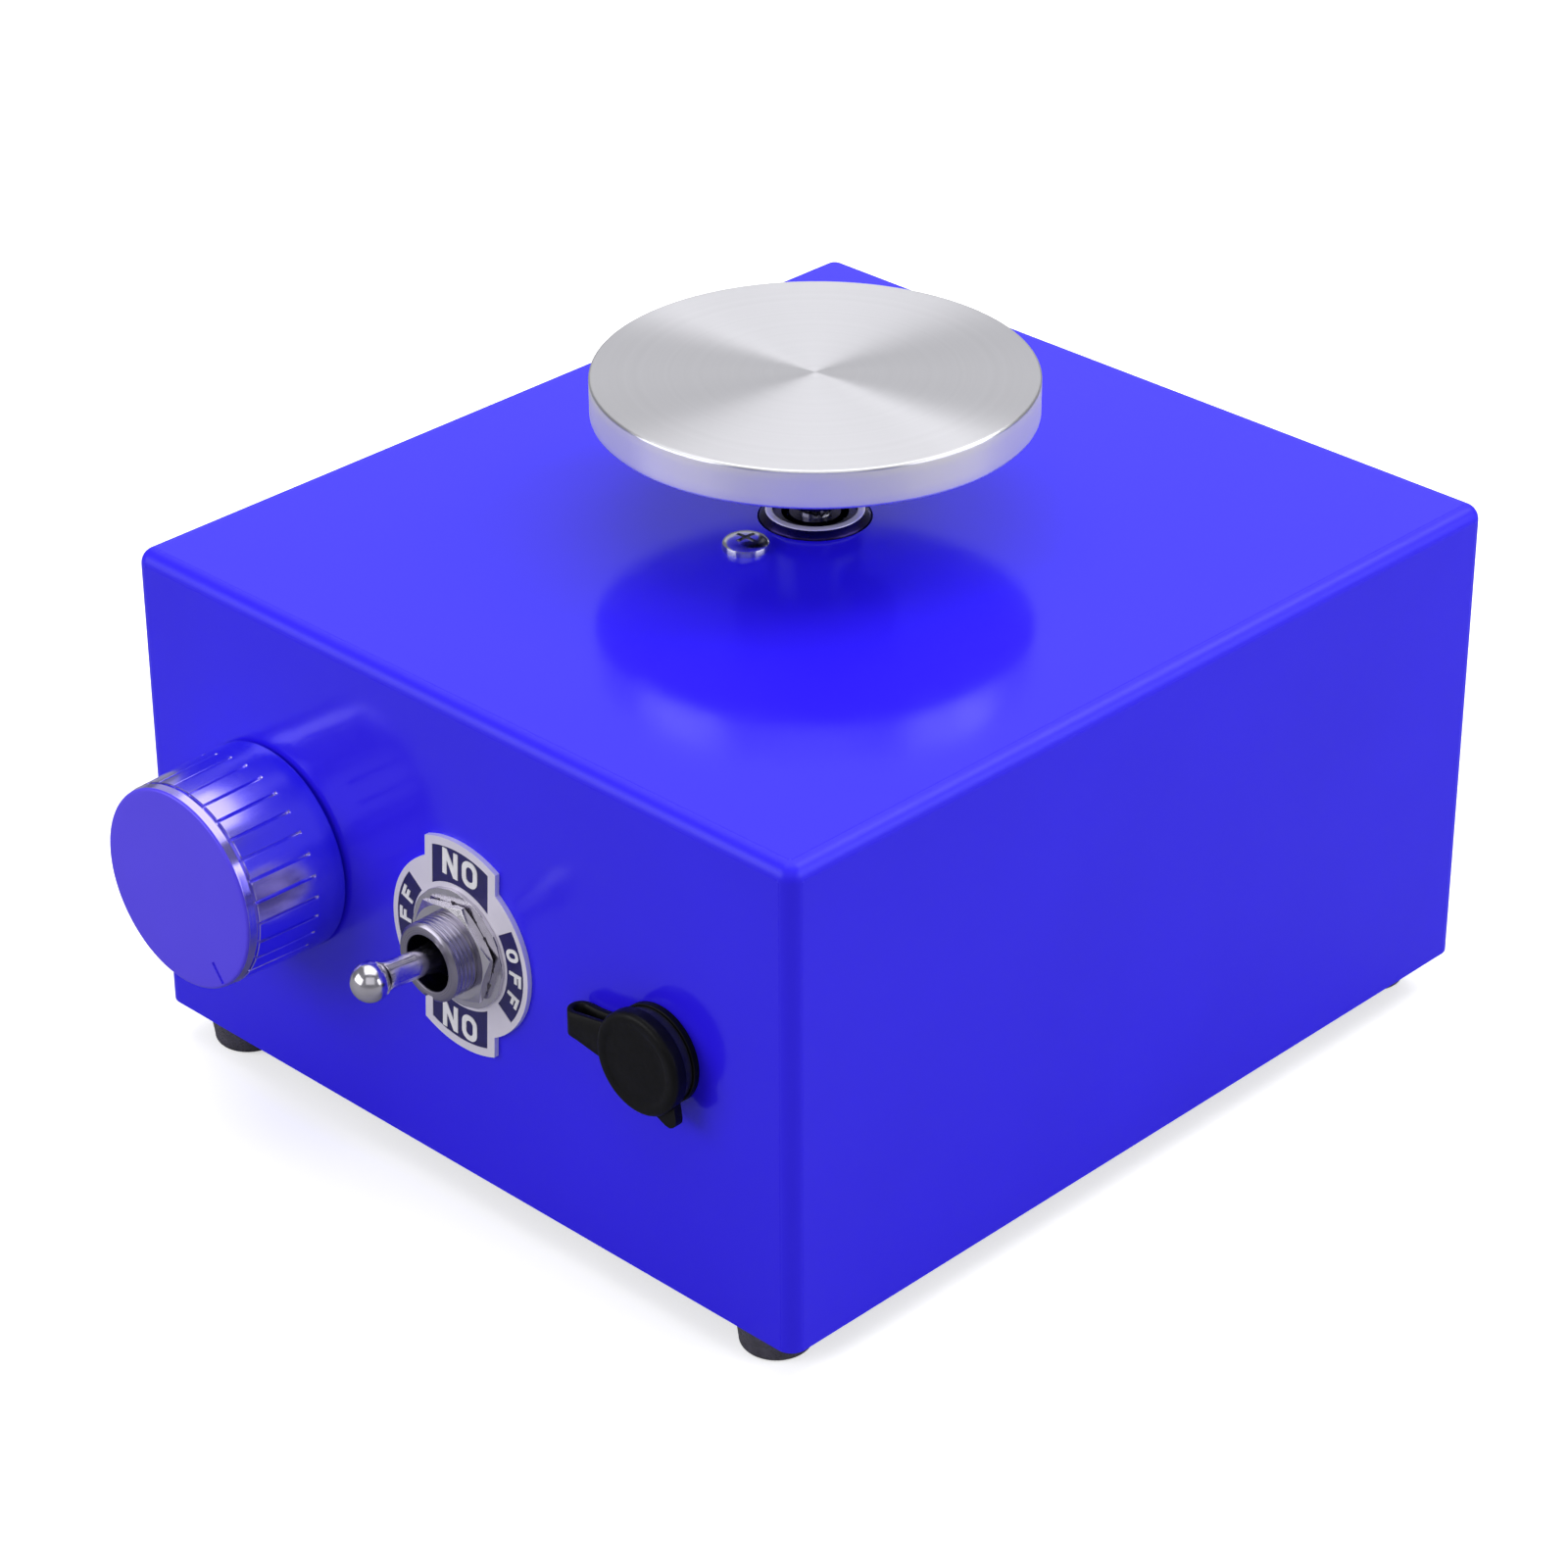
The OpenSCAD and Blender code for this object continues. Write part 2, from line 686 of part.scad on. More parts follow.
module toggle_bushing() {
    ridge = 0.35;
    color("silver") on_panel(switch_x) difference() {
        rotate_extrude() polygon([[3.6, frame_z], [thread_r, frame_z],
            [thread_r, bushing_proud - ridge], [thread_r - ridge, bushing_proud],
            [mouth_r + 0.2, bushing_proud], [mouth_r, bushing_proud - 0.2],
            [mouth_r, pivot_z - pivot_r], [3.6, pivot_z - pivot_r - 0.7]]);
        translate([-0.9, -thread_r - 1, frame_z - 1])
            cube([1.8, 1.9, bushing_proud - frame_z + 2]);
        translate([-thread_r - 1, 0, pivot_z]) rotate([0, 90, 0])
            cylinder(r = pivot_pin_r, h = 2 * thread_r + 2);
    }
}

module toggle_pivot_pin() {
    half = thread_r - 0.25;
    color("gray") on_panel(switch_x) translate([-half, 0, pivot_z]) rotate([0, 90, 0])
        cylinder(r = pivot_pin_r, h = 2 * half);
}

module toggle_lock_washer() {
    color("silver") on_panel(switch_x) translate([0, 0, plate_t]) difference() {
        ring(9.2, thread_r + 0.1, washer_t);
        for (i = [0:11]) rotate([0, 0, 30 * i]) translate([thread_r, -0.5, -1])
            cube([1.6, 1, 3]);
    }
}

module toggle_nut() {
    color("silver") on_panel(switch_x) translate([0, 0, nut_z]) rotate([0, 0, 12])
        hex_nut(14.4, nut_t, thread_r);
}

module toggle_back_nut() {
    color("silver") on_panel(switch_x) translate([0, 0, -wall - 2.2])
        hex_nut(14.4, 2.2, thread_r);
}

module toggle_frame() {
    strap = 0.8;
    color("silver") on_panel(switch_x) difference() {
        union() {
            translate([-body_x / 2 - strap, -body_y / 2, frame_z - frame_t])
                cube([body_x + 2 * strap, body_y, frame_t]);
            for (sx = [-1, 1])
                translate([sx * (body_x / 2 + strap / 2) - strap / 2, -5, body_low + 3])
                    cube([strap, 10, body_h - 3 + eps]);
        }
        translate([0, 0, frame_z - 3]) cylinder(r = 3.9, h = 5);
    }
}

module toggle_body() {
    color("maroon") on_panel(switch_x) difference() {
        translate([-body_x / 2, -body_y / 2, body_low]) cube([body_x, body_y, body_h]);
        translate([-6.5, -12, body_floor]) cube([13, 24, body_h]);
        for (x = [-rocker_x, rocker_x], y = [-rocker_end, 0, rocker_end])
            translate([x - 0.45, y - 2.45, body_low - 1]) cube([0.9, 4.9, 6]);
    }
}

module toggle_terminals() {
    reach = 7;
    color("peru") on_panel(switch_x)
        for (x = [-rocker_x, rocker_x], y = [-rocker_end, 0, rocker_end]) {
            translate([x - 0.4, y - 2.4, body_low - reach])
                cube([0.8, 4.8, reach + body_floor - body_low + 0.5]);
            if (y == 0) {
                translate([x - 0.4, -1, body_floor]) cube([0.8, 2, 4.3]);
            } else {
                translate([x, y, body_floor + 0.5 - eps]) cylinder(r = 1.5, h = 1.7);
            }
        }
}

// Turns the children about the left-to-right line at height z out of the panel
module tilted(z, degrees) {
    translate([0, 0, z]) rotate([degrees, 0, 0]) translate([0, 0, -z]) children();
}

module toggle_lever() {
    neck_z = bushing_proud + 0.5;
    waist_z = ball_reach - 3.6;
    color("silver") on_panel(switch_x) tilted(pivot_z, -lever_rest) difference() {
        union() {
            translate([0, 0, pivot_z]) sphere(r = pivot_r);
            translate([0, 0, pivot_z]) cylinder(r1 = 2.5, r2 = 1.95, h = neck_z - pivot_z);
            translate([0, 0, neck_z]) cylinder(r1 = 1.95, r2 = 2.05, h = waist_z - neck_z);
            translate([0, 0, waist_z]) cylinder(r1 = 2.05, r2 = 2.45, h = 2.6);
            translate([0, 0, ball_reach]) sphere(d = ball_d);
            translate([0, 0, plunger_low + 2.8])
                cylinder(r = 1.6, h = pivot_z - plunger_low - 2.8);
            translate([0, 0, plunger_low + 1.1]) cylinder(r = 1.1, h = 3);
            translate([0, 0, plunger_low + 1.2]) sphere(r = 1.2);
        }
        translate([-pivot_r - 1, 0, pivot_z]) rotate([0, 90, 0])
            cylinder(r = pivot_pin_r + run, h = 2 * pivot_r + 2);
    }
}

module toggle_rockers() {
    color("peru") on_panel(switch_x) tilted(rocker_z, rocker_rest)
    for (x = [-rocker_x, rocker_x]) {
        translate([x - 1.2, -rocker_end - 1.4, rocker_z])
            cube([2.4, 2 * rocker_end + 2.8, rocker_t]);
        for (y = [-rocker_end, rocker_end])
            translate([x, y, rocker_z - 0.7]) cylinder(r = 1.1, h = 0.7 + eps);
    }
}

module toggle_saddle() {
    color("ivory") on_panel(switch_x) tilted(rocker_z, rocker_rest)
        translate([-5.4, -3, rocker_z + rocker_t]) cube([10.8, 6, 1.6]);
}

module jack_body() {
    color("dimgray") on_panel(jack_x) difference() {
        union() {
            translate([0, 0, strap_t]) cylinder(r = flange_r, h = flange_top - strap_t);
            translate([0, 0, barrel_low]) cylinder(r = barrel_r, h = strap_t - barrel_low + 1);
        }
        translate([0, 0, barrel_low + 2.5]) cylinder(r = socket_r, h = 20);
        translate([0, 0, barrel_low - 1]) cylinder(r = pin_r, h = 5);
    }
}

module jack_pin() {
    color("silver") on_panel(jack_x) union() {
        translate([0, 0, barrel_low]) cylinder(r = pin_r, h = pin_top - barrel_low - 0.4);
        translate([0, 0, pin_top - 0.4]) cylinder(r1 = pin_r, r2 = pin_r - 0.3, h = 0.4);
    }
}

module jack_nut() {
    color("silver") on_panel(jack_x) translate([0, 0, -wall - 2.2])
        hex_nut(14, 2.2, barrel_r);
}

module jack_terminals() {
    color("silver") on_panel(jack_x) for (p = [[-3.4, 0], [3.4, 0], [0, 3.4]])
        translate([p[0] - 0.4, p[1] - 1.2, barrel_low - 6.5]) cube([0.8, 2.4, 6.5]);
}

// Half ring around the strap's fold, over part of the strap's height
module knuckle(y0, y1, outer) {
    translate([-strap_reach, y1, hinge_z]) rotate([90, 0, 0]) intersection() {
        ring(outer, strap_in_r, y1 - y0);
        translate([-outer - 1, -outer - 1, -1]) cube([outer + 1, 2 * outer + 2, 9]);
    }
}

module cap_tether() {
    color("black") on_panel(jack_x) {
        difference() {
            union() {
                cylinder(r = flange_r + 0.4, h = strap_t);
                linear_extrude(strap_t) polygon([[-4, 3], [-4, -3],
                    [knuckle_clear - strap_reach, -strap_half],
                    [knuckle_clear - strap_reach, strap_half]]);
                translate([-strap_reach, -knuckle_half, 0])
                    cube([knuckle_clear + 1, 2 * knuckle_half, strap_t]);
            }
            translate([0, 0, -1]) cylinder(r = barrel_r + 0.05, h = strap_t + 2);
        }
        knuckle(-knuckle_half, knuckle_half, hinge_z);
    }
}

module dust_cap() {
    r = cap_d / 2;
    leaf_z = hinge_z + strap_in_r;
    leaf_t = strap_out_r - strap_in_r;
    soft = 0.9;
    tab_turn = -52;
    color("black") on_panel(jack_x) {
        difference() {
            union() {
                rotate_extrude() polygon(concat([[0, cap_low], [r - 0.3, cap_low],
                    [r, cap_low + 0.3]], arc(r - soft, cap_top - soft, soft, 0, 90, 5),
                    [[0, cap_top]]));
                translate([0, 0, leaf_z]) linear_extrude(leaf_t)
                    polygon([[-4, 3.6], [-4, -3.6], [-strap_reach, -strap_half],
                        [-strap_reach, strap_half]]);
                translate([0, 0, cap_low]) linear_extrude(1.3) rotate([0, 0, tab_turn])
                    polygon([[4, 2.6], [4, -2.6], [r + 1.6, -1.2], [r + 2.1, -0.7],
                        [r + 2.1, 0.7], [r + 1.6, 1.2]]);
                translate([0, 0, 0.4]) cylinder(r = 2.7, h = cap_low);
            }
            translate([0, 0, -1]) cylinder(r = 1.7, h = cap_low + 1.4);
            translate([-strap_reach - 1, -knuckle_gap, leaf_z - 1])
                cube([knuckle_clear + 1, 2 * knuckle_gap, 4]);
        }
        for (s = [-1, 1]) knuckle(min(s * knuckle_gap, s * strap_half),
            max(s * knuckle_gap, s * strap_half), strap_out_r);
    }
}

module board_standoffs() {
    color("silver") for (sx = [-1, 1], sy = [-1, 1])
        translate([sx * (board_w / 2 - 4), board_y + sy * (board_d / 2 - 4), floor_z]) {
            ring(2.9, m3_r, standoff_h);
            translate([0, 0, -floor_t]) rotate([180, 0, 0]) pan_screw(floor_t + 3);
            translate([0, 0, standoff_h + board_t]) pan_screw(board_t + 2.5);
        }
}

module circuit_board() {
    color("darkgreen") difference() {
        translate([-board_w / 2, board_y - board_d / 2, board_z])
            cube([board_w, board_d, board_t]);
        for (sx = [-1, 1], sy = [-1, 1])
            translate([sx * (board_w / 2 - 4), board_y + sy * (board_d / 2 - 4), board_z - 1])
                cylinder(r = m3_r + 0.1, h = board_t + 2);
    }
}

// Parts soldered on the board: terminal block, heat sink with its transistor,
// two capacitors, a chip and two diodes
module board_parts() {
    front_y = board_y - board_d / 2;
    color("green") difference() {
        translate([-15, front_y + 0.5, board_top]) cube([30, 8, 10]);
        for (i = [-2.5:1:2.5]) translate([i * 5 - 1.5, front_y - 1, board_top + 1.2])
            cube([3, 5, 3.4]);
    }
    color("gray") translate([-12, front_y + 25, board_top]) difference() {
        cube([24, 11, 18]);
        for (i = [0:4]) translate([1.6 + 4.4 * i, 2.5, -1]) cube([3, 9, 20]);
    }
    color("black") translate([-5, front_y + 20.3, board_top + 3]) cube([10, 4.6, 14]);
    color("navy") for (x = [-21, 18]) translate([x, front_y + 17, board_top])
        cylinder(r = 4, h = 12);
    color("black") translate([6, front_y + 11.5, board_top]) cube([6.5, 7, 3.2]);
    color("black") for (x = [-12, -7]) translate([x, front_y + 11, board_top + 1.4])
        rotate([-90, 0, 0]) cylinder(r = 1.35, h = 5);
}

// Wires start and end just clear of the terminals that they are soldered to
module panel_wires(side) {
    clear = 0.4;
    back_y = panel_y - body_low + 7 + clear;
    jack_back = panel_y - barrel_low + 6.5 + clear;
    front_y = board_y - board_d / 2 - 1;
    entry_z = board_top + 2.9;
    sx = side;
    wire([[jack_x + sx * 3.4, jack_back, row_z], [jack_x + sx * 3.4, jack_back + 10, row_z],
        [jack_x - 8, back_y + 10, row_z + sx * 4],
        [switch_x + rocker_x, back_y + 5, row_z + sx * rocker_end],
        [switch_x + rocker_x, back_y, row_z + sx * rocker_end]]);
    wire([[switch_x + sx * rocker_x, back_y, row_z], [switch_x + sx * rocker_x, back_y + 10,
        row_z - 3], [25 + sx * 3, case_y - 12, entry_z + 8], [16 + sx * 4, front_y - 9,
        entry_z], [10 + sx * 2.5, front_y, entry_z]]);
    wire([[axis_x + sx * 12, axis_y, can_low_z - 6 - clear],
        [axis_x + sx * 12, axis_y + 2, can_low_z - 9],
        [sx * 9, front_y - 8, entry_z - 2], [sx * 2.5, front_y, entry_z]]);
    wire([[knob_x + sx * 5, panel_y + wall + 1.8, row_z - 18 - clear - wire_r],
        [knob_x + sx * 5, panel_y + 12, row_z - 24], [-34 + sx * 3, case_y - 14,
        entry_z + 4], [-16 + sx * 4, front_y - 9, entry_z], [-10 + sx * 2.5, front_y,
        entry_z]]);
}

module wires_red() { color("red") panel_wires(1); }
module wires_black() { color("black") panel_wires(-1); }

case_shell();
base_plate();
base_screws();
foot_front_left();
foot_front_right();
foot_rear_left();
foot_rear_right();
foot_screws();
foot_nuts();
motor_can();
motor_end_cap();
motor_magnets();
bearing_outer_ring();
bearing_balls();
rear_bushing();
motor_brushes();
motor_terminals();
motor_screws();
pot_body();
pot_bushing();
pot_nut();
pot_washer();
pot_terminals();
legend_plate();
toggle_bushing();
toggle_pivot_pin();
toggle_nut();
toggle_lock_washer();
toggle_back_nut();
toggle_body();
toggle_frame();
toggle_terminals();
jack_body();
jack_pin();
jack_nut();
jack_terminals();
cap_tether();
circuit_board();
board_standoffs();
board_parts();
wires_red();
wires_black();
turntable();
turntable_hub();
hub_screws();
hub_set_screw();
motor_shaft();
armature_core();
armature_windings();
commutator();
bearing_inner_ring();
knob_shell();
knob_insert();
knob_set_screw();
pot_shaft();
pot_wiper();
toggle_lever();
toggle_rockers();
toggle_saddle();
dust_cap();
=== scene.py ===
"""Looks of the miniature pottery wheel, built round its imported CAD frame."""

import json
import math

import bmesh
import bpy
from mathutils import Matrix, Vector


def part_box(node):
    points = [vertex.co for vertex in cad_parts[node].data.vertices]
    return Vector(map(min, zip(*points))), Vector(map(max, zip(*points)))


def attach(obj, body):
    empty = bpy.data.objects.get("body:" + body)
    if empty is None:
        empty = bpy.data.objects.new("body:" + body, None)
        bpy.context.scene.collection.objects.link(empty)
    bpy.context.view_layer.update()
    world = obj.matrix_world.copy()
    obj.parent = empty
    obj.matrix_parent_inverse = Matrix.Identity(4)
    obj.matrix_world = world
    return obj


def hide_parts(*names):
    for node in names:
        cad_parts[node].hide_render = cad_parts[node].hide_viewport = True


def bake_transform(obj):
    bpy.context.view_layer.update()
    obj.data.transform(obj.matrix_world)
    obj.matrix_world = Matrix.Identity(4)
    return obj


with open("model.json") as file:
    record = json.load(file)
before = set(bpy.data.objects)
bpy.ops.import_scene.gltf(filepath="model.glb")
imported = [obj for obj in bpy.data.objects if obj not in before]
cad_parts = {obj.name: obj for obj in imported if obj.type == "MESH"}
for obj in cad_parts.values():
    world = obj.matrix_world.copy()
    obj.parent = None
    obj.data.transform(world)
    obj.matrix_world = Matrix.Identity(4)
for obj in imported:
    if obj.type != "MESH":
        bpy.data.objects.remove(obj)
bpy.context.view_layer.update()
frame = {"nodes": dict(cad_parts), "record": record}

MM = 0.001
SLOT_OF = {s["node"]: s["material_slot"] for s in frame["record"]["subparts"]}


def cad_mm(node):
    """A CAD node's lowest corner, highest corner and middle, in millimetres."""
    low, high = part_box(node)
    low, high = Vector(low) / MM, Vector(high) / MM
    return low, high, (low + high) / 2


def turned(degrees, axis="Z"):
    return Matrix.Rotation(math.radians(degrees), 4, axis)


def moved(x, y, z):
    return Matrix.Translation((x, y, z))


# ---------------------------------------------------------------- places, mm
case_low, case_high, case_mid = cad_mm("case_shell")
disc_low, disc_high, disc_mid = cad_mm("turntable")
AXIS = moved(disc_mid.x, disc_mid.y, 0)
PANEL_Y = case_low.y
TOP_Z = case_high.z
KNOB = cad_mm("knob_shell")[2]
PLATE = cad_mm("legend_plate")[2]
JACK = cad_mm("jack_body")[2]


def on_panel(x):
    """Local x to the right, y up and z out of the panel, at the row of controls."""
    return moved(x, PANEL_Y, PLATE.z) @ turned(90, "X")


# ------------------------------------------------------------ mesh builders
def arc(cx, cy, r, a0, a1, n=8):
    """Points along an arc, angles in degrees."""
    steps = [math.radians(a0 + (a1 - a0) * i / n) for i in range(n + 1)]
    return [(cx + r * math.cos(a), cy + r * math.sin(a)) for a in steps]


def lathe(profile, angles=96, radius_at=None, loop=False):
    """A turned form from (r, z) points. angles is a count or a list in degrees."""
    if isinstance(angles, int):
        angles = [360 * i / angles for i in range(angles)]
    angles = [math.radians(a) for a in angles]
    verts, rows = [], []
    for r, z in profile:
        if r < 1e-6:
            rows.append([len(verts)] * len(angles))
            verts.append((0, 0, z))
            continue
        rows.append(list(range(len(verts), len(verts) + len(angles))))
        for a in angles:
            q = radius_at(r, z, a) if radius_at else r
            verts.append((q * math.cos(a), q * math.sin(a), z))
    faces = []
    pairs = list(zip(rows, rows[1:])) + ([(rows[-1], rows[0])] if loop else [])
    for low, high in pairs:
        for i in range(len(angles)):
            j = (i + 1) % len(angles)
            corners = [low[i], low[j], high[j], high[i]]
            face = [c for k, c in enumerate(corners) if c not in corners[:k]]
            if len(face) > 2:
                faces.append(face)
    return verts, faces


def prism(outline, z0, z1):
    """A straight-sided form on a plain outline."""
    n = len(outline)
    verts = [(x, y, z) for z in (z0, z1) for x, y in outline]
    faces = [list(range(n))[::-1], list(range(n, 2 * n))]
    faces += [[i, (i + 1) % n, n + (i + 1) % n, n + i] for i in range(n)]
    return verts, faces


def ring_prism(outer, inner, z0, z1):
    """A straight-sided form with a hole: both outlines have as many points."""
    n = len(outer)
    verts = [(x, y, z) for z in (z0, z1) for line in (outer, inner) for x, y in line]
    faces = []
    for i in range(n):
        j = (i + 1) % n
        faces += [
            [i, j, n + j, n + i],
            [2 * n + i, 2 * n + j, 3 * n + j, 3 * n + i],
            [i, j, 2 * n + j, 2 * n + i],
            [n + i, n + j, 3 * n + j, 3 * n + i],
        ]
    return verts, faces


def at(matrix, part):
    """The part, moved."""
    return [tuple(matrix @ Vector(v)) for v in part[0]], part[1]


def together(*parts):
    """Several parts as one."""
    verts, faces = [], []
    for v, f in parts:
        base = len(verts)
        verts += list(v)
        faces += [[base + i for i in face] for face in f]
    return verts, faces


def rod(r, z0, z1, n=64):
    return prism(arc(0, 0, r, 0, 360 - 360 / n, n - 1), z0, z1)


def make(name, part, place=Matrix(), smooth=30):
    """A new mesh object from millimetres in a local frame."""
    mesh = bpy.data.meshes.new(name)
    mesh.from_pydata([place @ Vector(v) * MM for v in part[0]], [], part[1])
    bm = bmesh.new()
    bm.from_mesh(mesh)
    bmesh.ops.recalc_face_normals(bm, faces=bm.faces)
    bm.to_mesh(mesh)
    bm.free()
    obj = bpy.data.objects.new(name, mesh)
    bpy.context.scene.collection.objects.link(obj)
    shade(obj, smooth)
    return obj


def shade(obj, smooth=30):
    """Smooth shading, with edges sharper than this many degrees left sharp."""
    obj.data.shade_smooth()
    obj.data.set_sharp_from_angle(angle=math.radians(smooth))


def fix(obj):
    """Turns the object's modifiers into its mesh."""
    bpy.context.view_layer.update()
    graph = bpy.context.evaluated_depsgraph_get()
    mesh = bpy.data.meshes.new_from_object(obj.evaluated_get(graph))
    obj.modifiers.clear()
    obj.data = mesh


def carve(obj, part, place=Matrix(), how="DIFFERENCE", smooth=30):
    """Cuts the part from obj, or joins it on."""
    cutter = make("cutter", part, place)
    mod = obj.modifiers.new("carve", "BOOLEAN")
    mod.object, mod.operation, mod.solver = cutter, how, "EXACT"
    fix(obj)
    bpy.data.objects.remove(cutter)
    shade(obj, smooth)


def ease(obj, width, segments=2, angle=32, weld=False):
    """Small rounds on the sharp edges, width in mm."""
    if weld:
        mod = obj.modifiers.new("weld", "WELD")
        mod.merge_threshold = 0.002 * MM
    mod = obj.modifiers.new("ease", "BEVEL")
    mod.width, mod.segments = width * MM, segments
    mod.limit_method, mod.angle_limit = "ANGLE", math.radians(angle)
    mod.harden_normals = True
    mod.use_clamp_overlap = True
    return obj


def finish_piece(obj, body, slot, *nodes, material=None):
    """Gives the piece its slot's finish or the one given, if it has none, puts it on its body and
    hides the CAD nodes it stands for.
    """
    mat = material or MATERIALS[slot]
    if not obj.data.materials:
        obj.data.materials.append(mat)
    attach(obj, body)
    if nodes:
        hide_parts(*nodes)
    return obj


def two_finishes(obj, main, other, takes_other, place=Matrix()):
    """The main finish, and the other one on every face that takes_other picks.

    It is asked with the face, and with the radius and height of the face's middle in place.
    """
    obj.data.materials.clear()
    obj.data.materials.append(main)
    obj.data.materials.append(other)
    inside = place.inverted()
    for face in obj.data.polygons:
        middle = inside @ (face.center / MM)
        radius = math.hypot(middle.x, middle.y)
        face.material_index = int(takes_other(face, radius, middle.z))


# ---------------------------------------------------------------- materials
# Nearly all of a noise's values lie between these two
NOISE_LOW, NOISE_HIGH = 0.3, 0.7
QUARTER_TURN = 0.25


class Nodes:
    """Short calls for building one material's nodes."""

    def __init__(self, name):
        self.mat = bpy.data.materials.new(name)
        self.mat.use_nodes = True
        self.tree = self.mat.node_tree
        self.bsdf = self.tree.nodes["Principled BSDF"]
        self.coords = self.add("ShaderNodeTexCoord").outputs["Object"]

    def add(self, kind, **values):
        node = self.tree.nodes.new(kind)
        for key, value in values.items():
            setattr(node, key, value)
        return node

    def link(self, a, b):
        self.tree.links.new(a, b)

    def noise(self, per_mm, detail=2.0):
        """Noise with features of about 1 / per_mm millimetres, from 0 to 1."""
        node = self.add("ShaderNodeTexNoise")
        node.inputs["Scale"].default_value = per_mm / MM
        node.inputs["Detail"].default_value = detail
        self.link(self.coords, node.inputs["Vector"])
        return node.outputs["Fac"]

    def lines(self, value, per_mm, detail=4.0):
        """Noise along one number, for turned or drawn marks."""
        node = self.add("ShaderNodeTexNoise", noise_dimensions="1D")
        node.inputs["Scale"].default_value = per_mm / MM
        node.inputs["Detail"].default_value = detail
        self.link(value, node.inputs["W"])
        return node.outputs["Fac"]

    def math(self, how, a, b=0.0):
        node = self.add("ShaderNodeMath", operation=how)
        for socket, value in zip(node.inputs, (a, b)):
            if isinstance(value, (int, float)):
                socket.default_value = value
            else:
                self.link(value, socket)
        return node.outputs[0]

    def spread(self, value, low, high):
        """Maps noise to a range of numbers."""
        node = self.add("ShaderNodeMapRange")
        for key, number in (("From Min", NOISE_LOW), ("From Max", NOISE_HIGH),
                            ("To Min", low), ("To Max", high)):
            node.inputs[key].default_value = number
        self.link(value, node.inputs["Value"])
        return node.outputs["Result"]

    def tint(self, value, low, high):
        """Maps noise to a range of colours."""
        node = self.add("ShaderNodeValToRGB")
        first, last = node.color_ramp.elements
        first.position, last.position = NOISE_LOW, NOISE_HIGH
        first.color, last.color = (*low, 1), (*high, 1)
        self.link(value, node.inputs["Fac"])
        return node.outputs["Color"]

    def bump(self, height, strength, distance_mm, onto=None):
        node = self.add("ShaderNodeBump")
        node.inputs["Strength"].default_value = strength
        node.inputs["Distance"].default_value = distance_mm * MM
        self.link(height, node.inputs["Height"])
        if onto:
            self.link(onto, node.inputs["Normal"])
        self.link(node.outputs["Normal"], self.bsdf.inputs["Normal"])
        return node.outputs["Normal"]

    def parts(self):
        """The x, y and z of the object's own coordinates."""
        node = self.add("ShaderNodeSeparateXYZ")
        self.link(self.coords, node.inputs[0])
        return node.outputs

    def tangent(self, axis, amount):
        """Marks that run round an axis, which stretch the highlight across them."""
        node = self.add("ShaderNodeTangent", direction_type="RADIAL", axis=axis)
        self.link(node.outputs["Tangent"], self.bsdf.inputs["Tangent"])
        self.bsdf.inputs["Anisotropic"].default_value = amount
        self.bsdf.inputs["Anisotropic Rotation"].default_value = QUARTER_TURN


def scaled(color, k):
    return tuple(min(1.0, c * k) for c in color)


def surface(name, color, *, rough, vary, rough_vary, grain, bump, bump_mm, bump_grain,
            metallic=0.0, level=0.5, coat=0.0):
    """A plain finish with fine variation of colour, gloss and surface. Grains are per mm."""
    n = Nodes(name)
    n.link(n.tint(n.noise(grain), scaled(color, 1 - vary), scaled(color, 1 + vary)),
           n.bsdf.inputs["Base Color"])
    n.link(n.spread(n.noise(grain * 2.7, 3.0), max(0.03, rough - rough_vary), rough + rough_vary),
           n.bsdf.inputs["Roughness"])
    n.bump(n.noise(bump_grain, 3.0), bump, bump_mm)
    n.bsdf.inputs["Metallic"].default_value = metallic
    n.bsdf.inputs["Specular IOR Level"].default_value = level
    n.bsdf.inputs["Coat Weight"].default_value = coat
    return n.mat


def powder_coat(name, color, rough, level):
    """Baked powder: a fine orange-peel skin over an even colour, with a few nibs."""
    n = Nodes(name)
    cloud = n.noise(0.03, 2.0)
    n.link(n.tint(cloud, scaled(color, 0.97), scaled(color, 1.03)), n.bsdf.inputs["Base Color"])
    n.link(n.spread(n.noise(0.25, 3.0), rough - 0.015, rough + 0.02), n.bsdf.inputs["Roughness"])
    peel = n.bump(n.noise(0.8, 1.0), 0.10, 0.012)
    n.bump(n.noise(4.0, 1.0), 0.06, 0.006, onto=peel)
    n.bsdf.inputs["Specular IOR Level"].default_value = level
    return n.mat


BROAD_MARKS, MARK_GLOSS = 12, 0.05


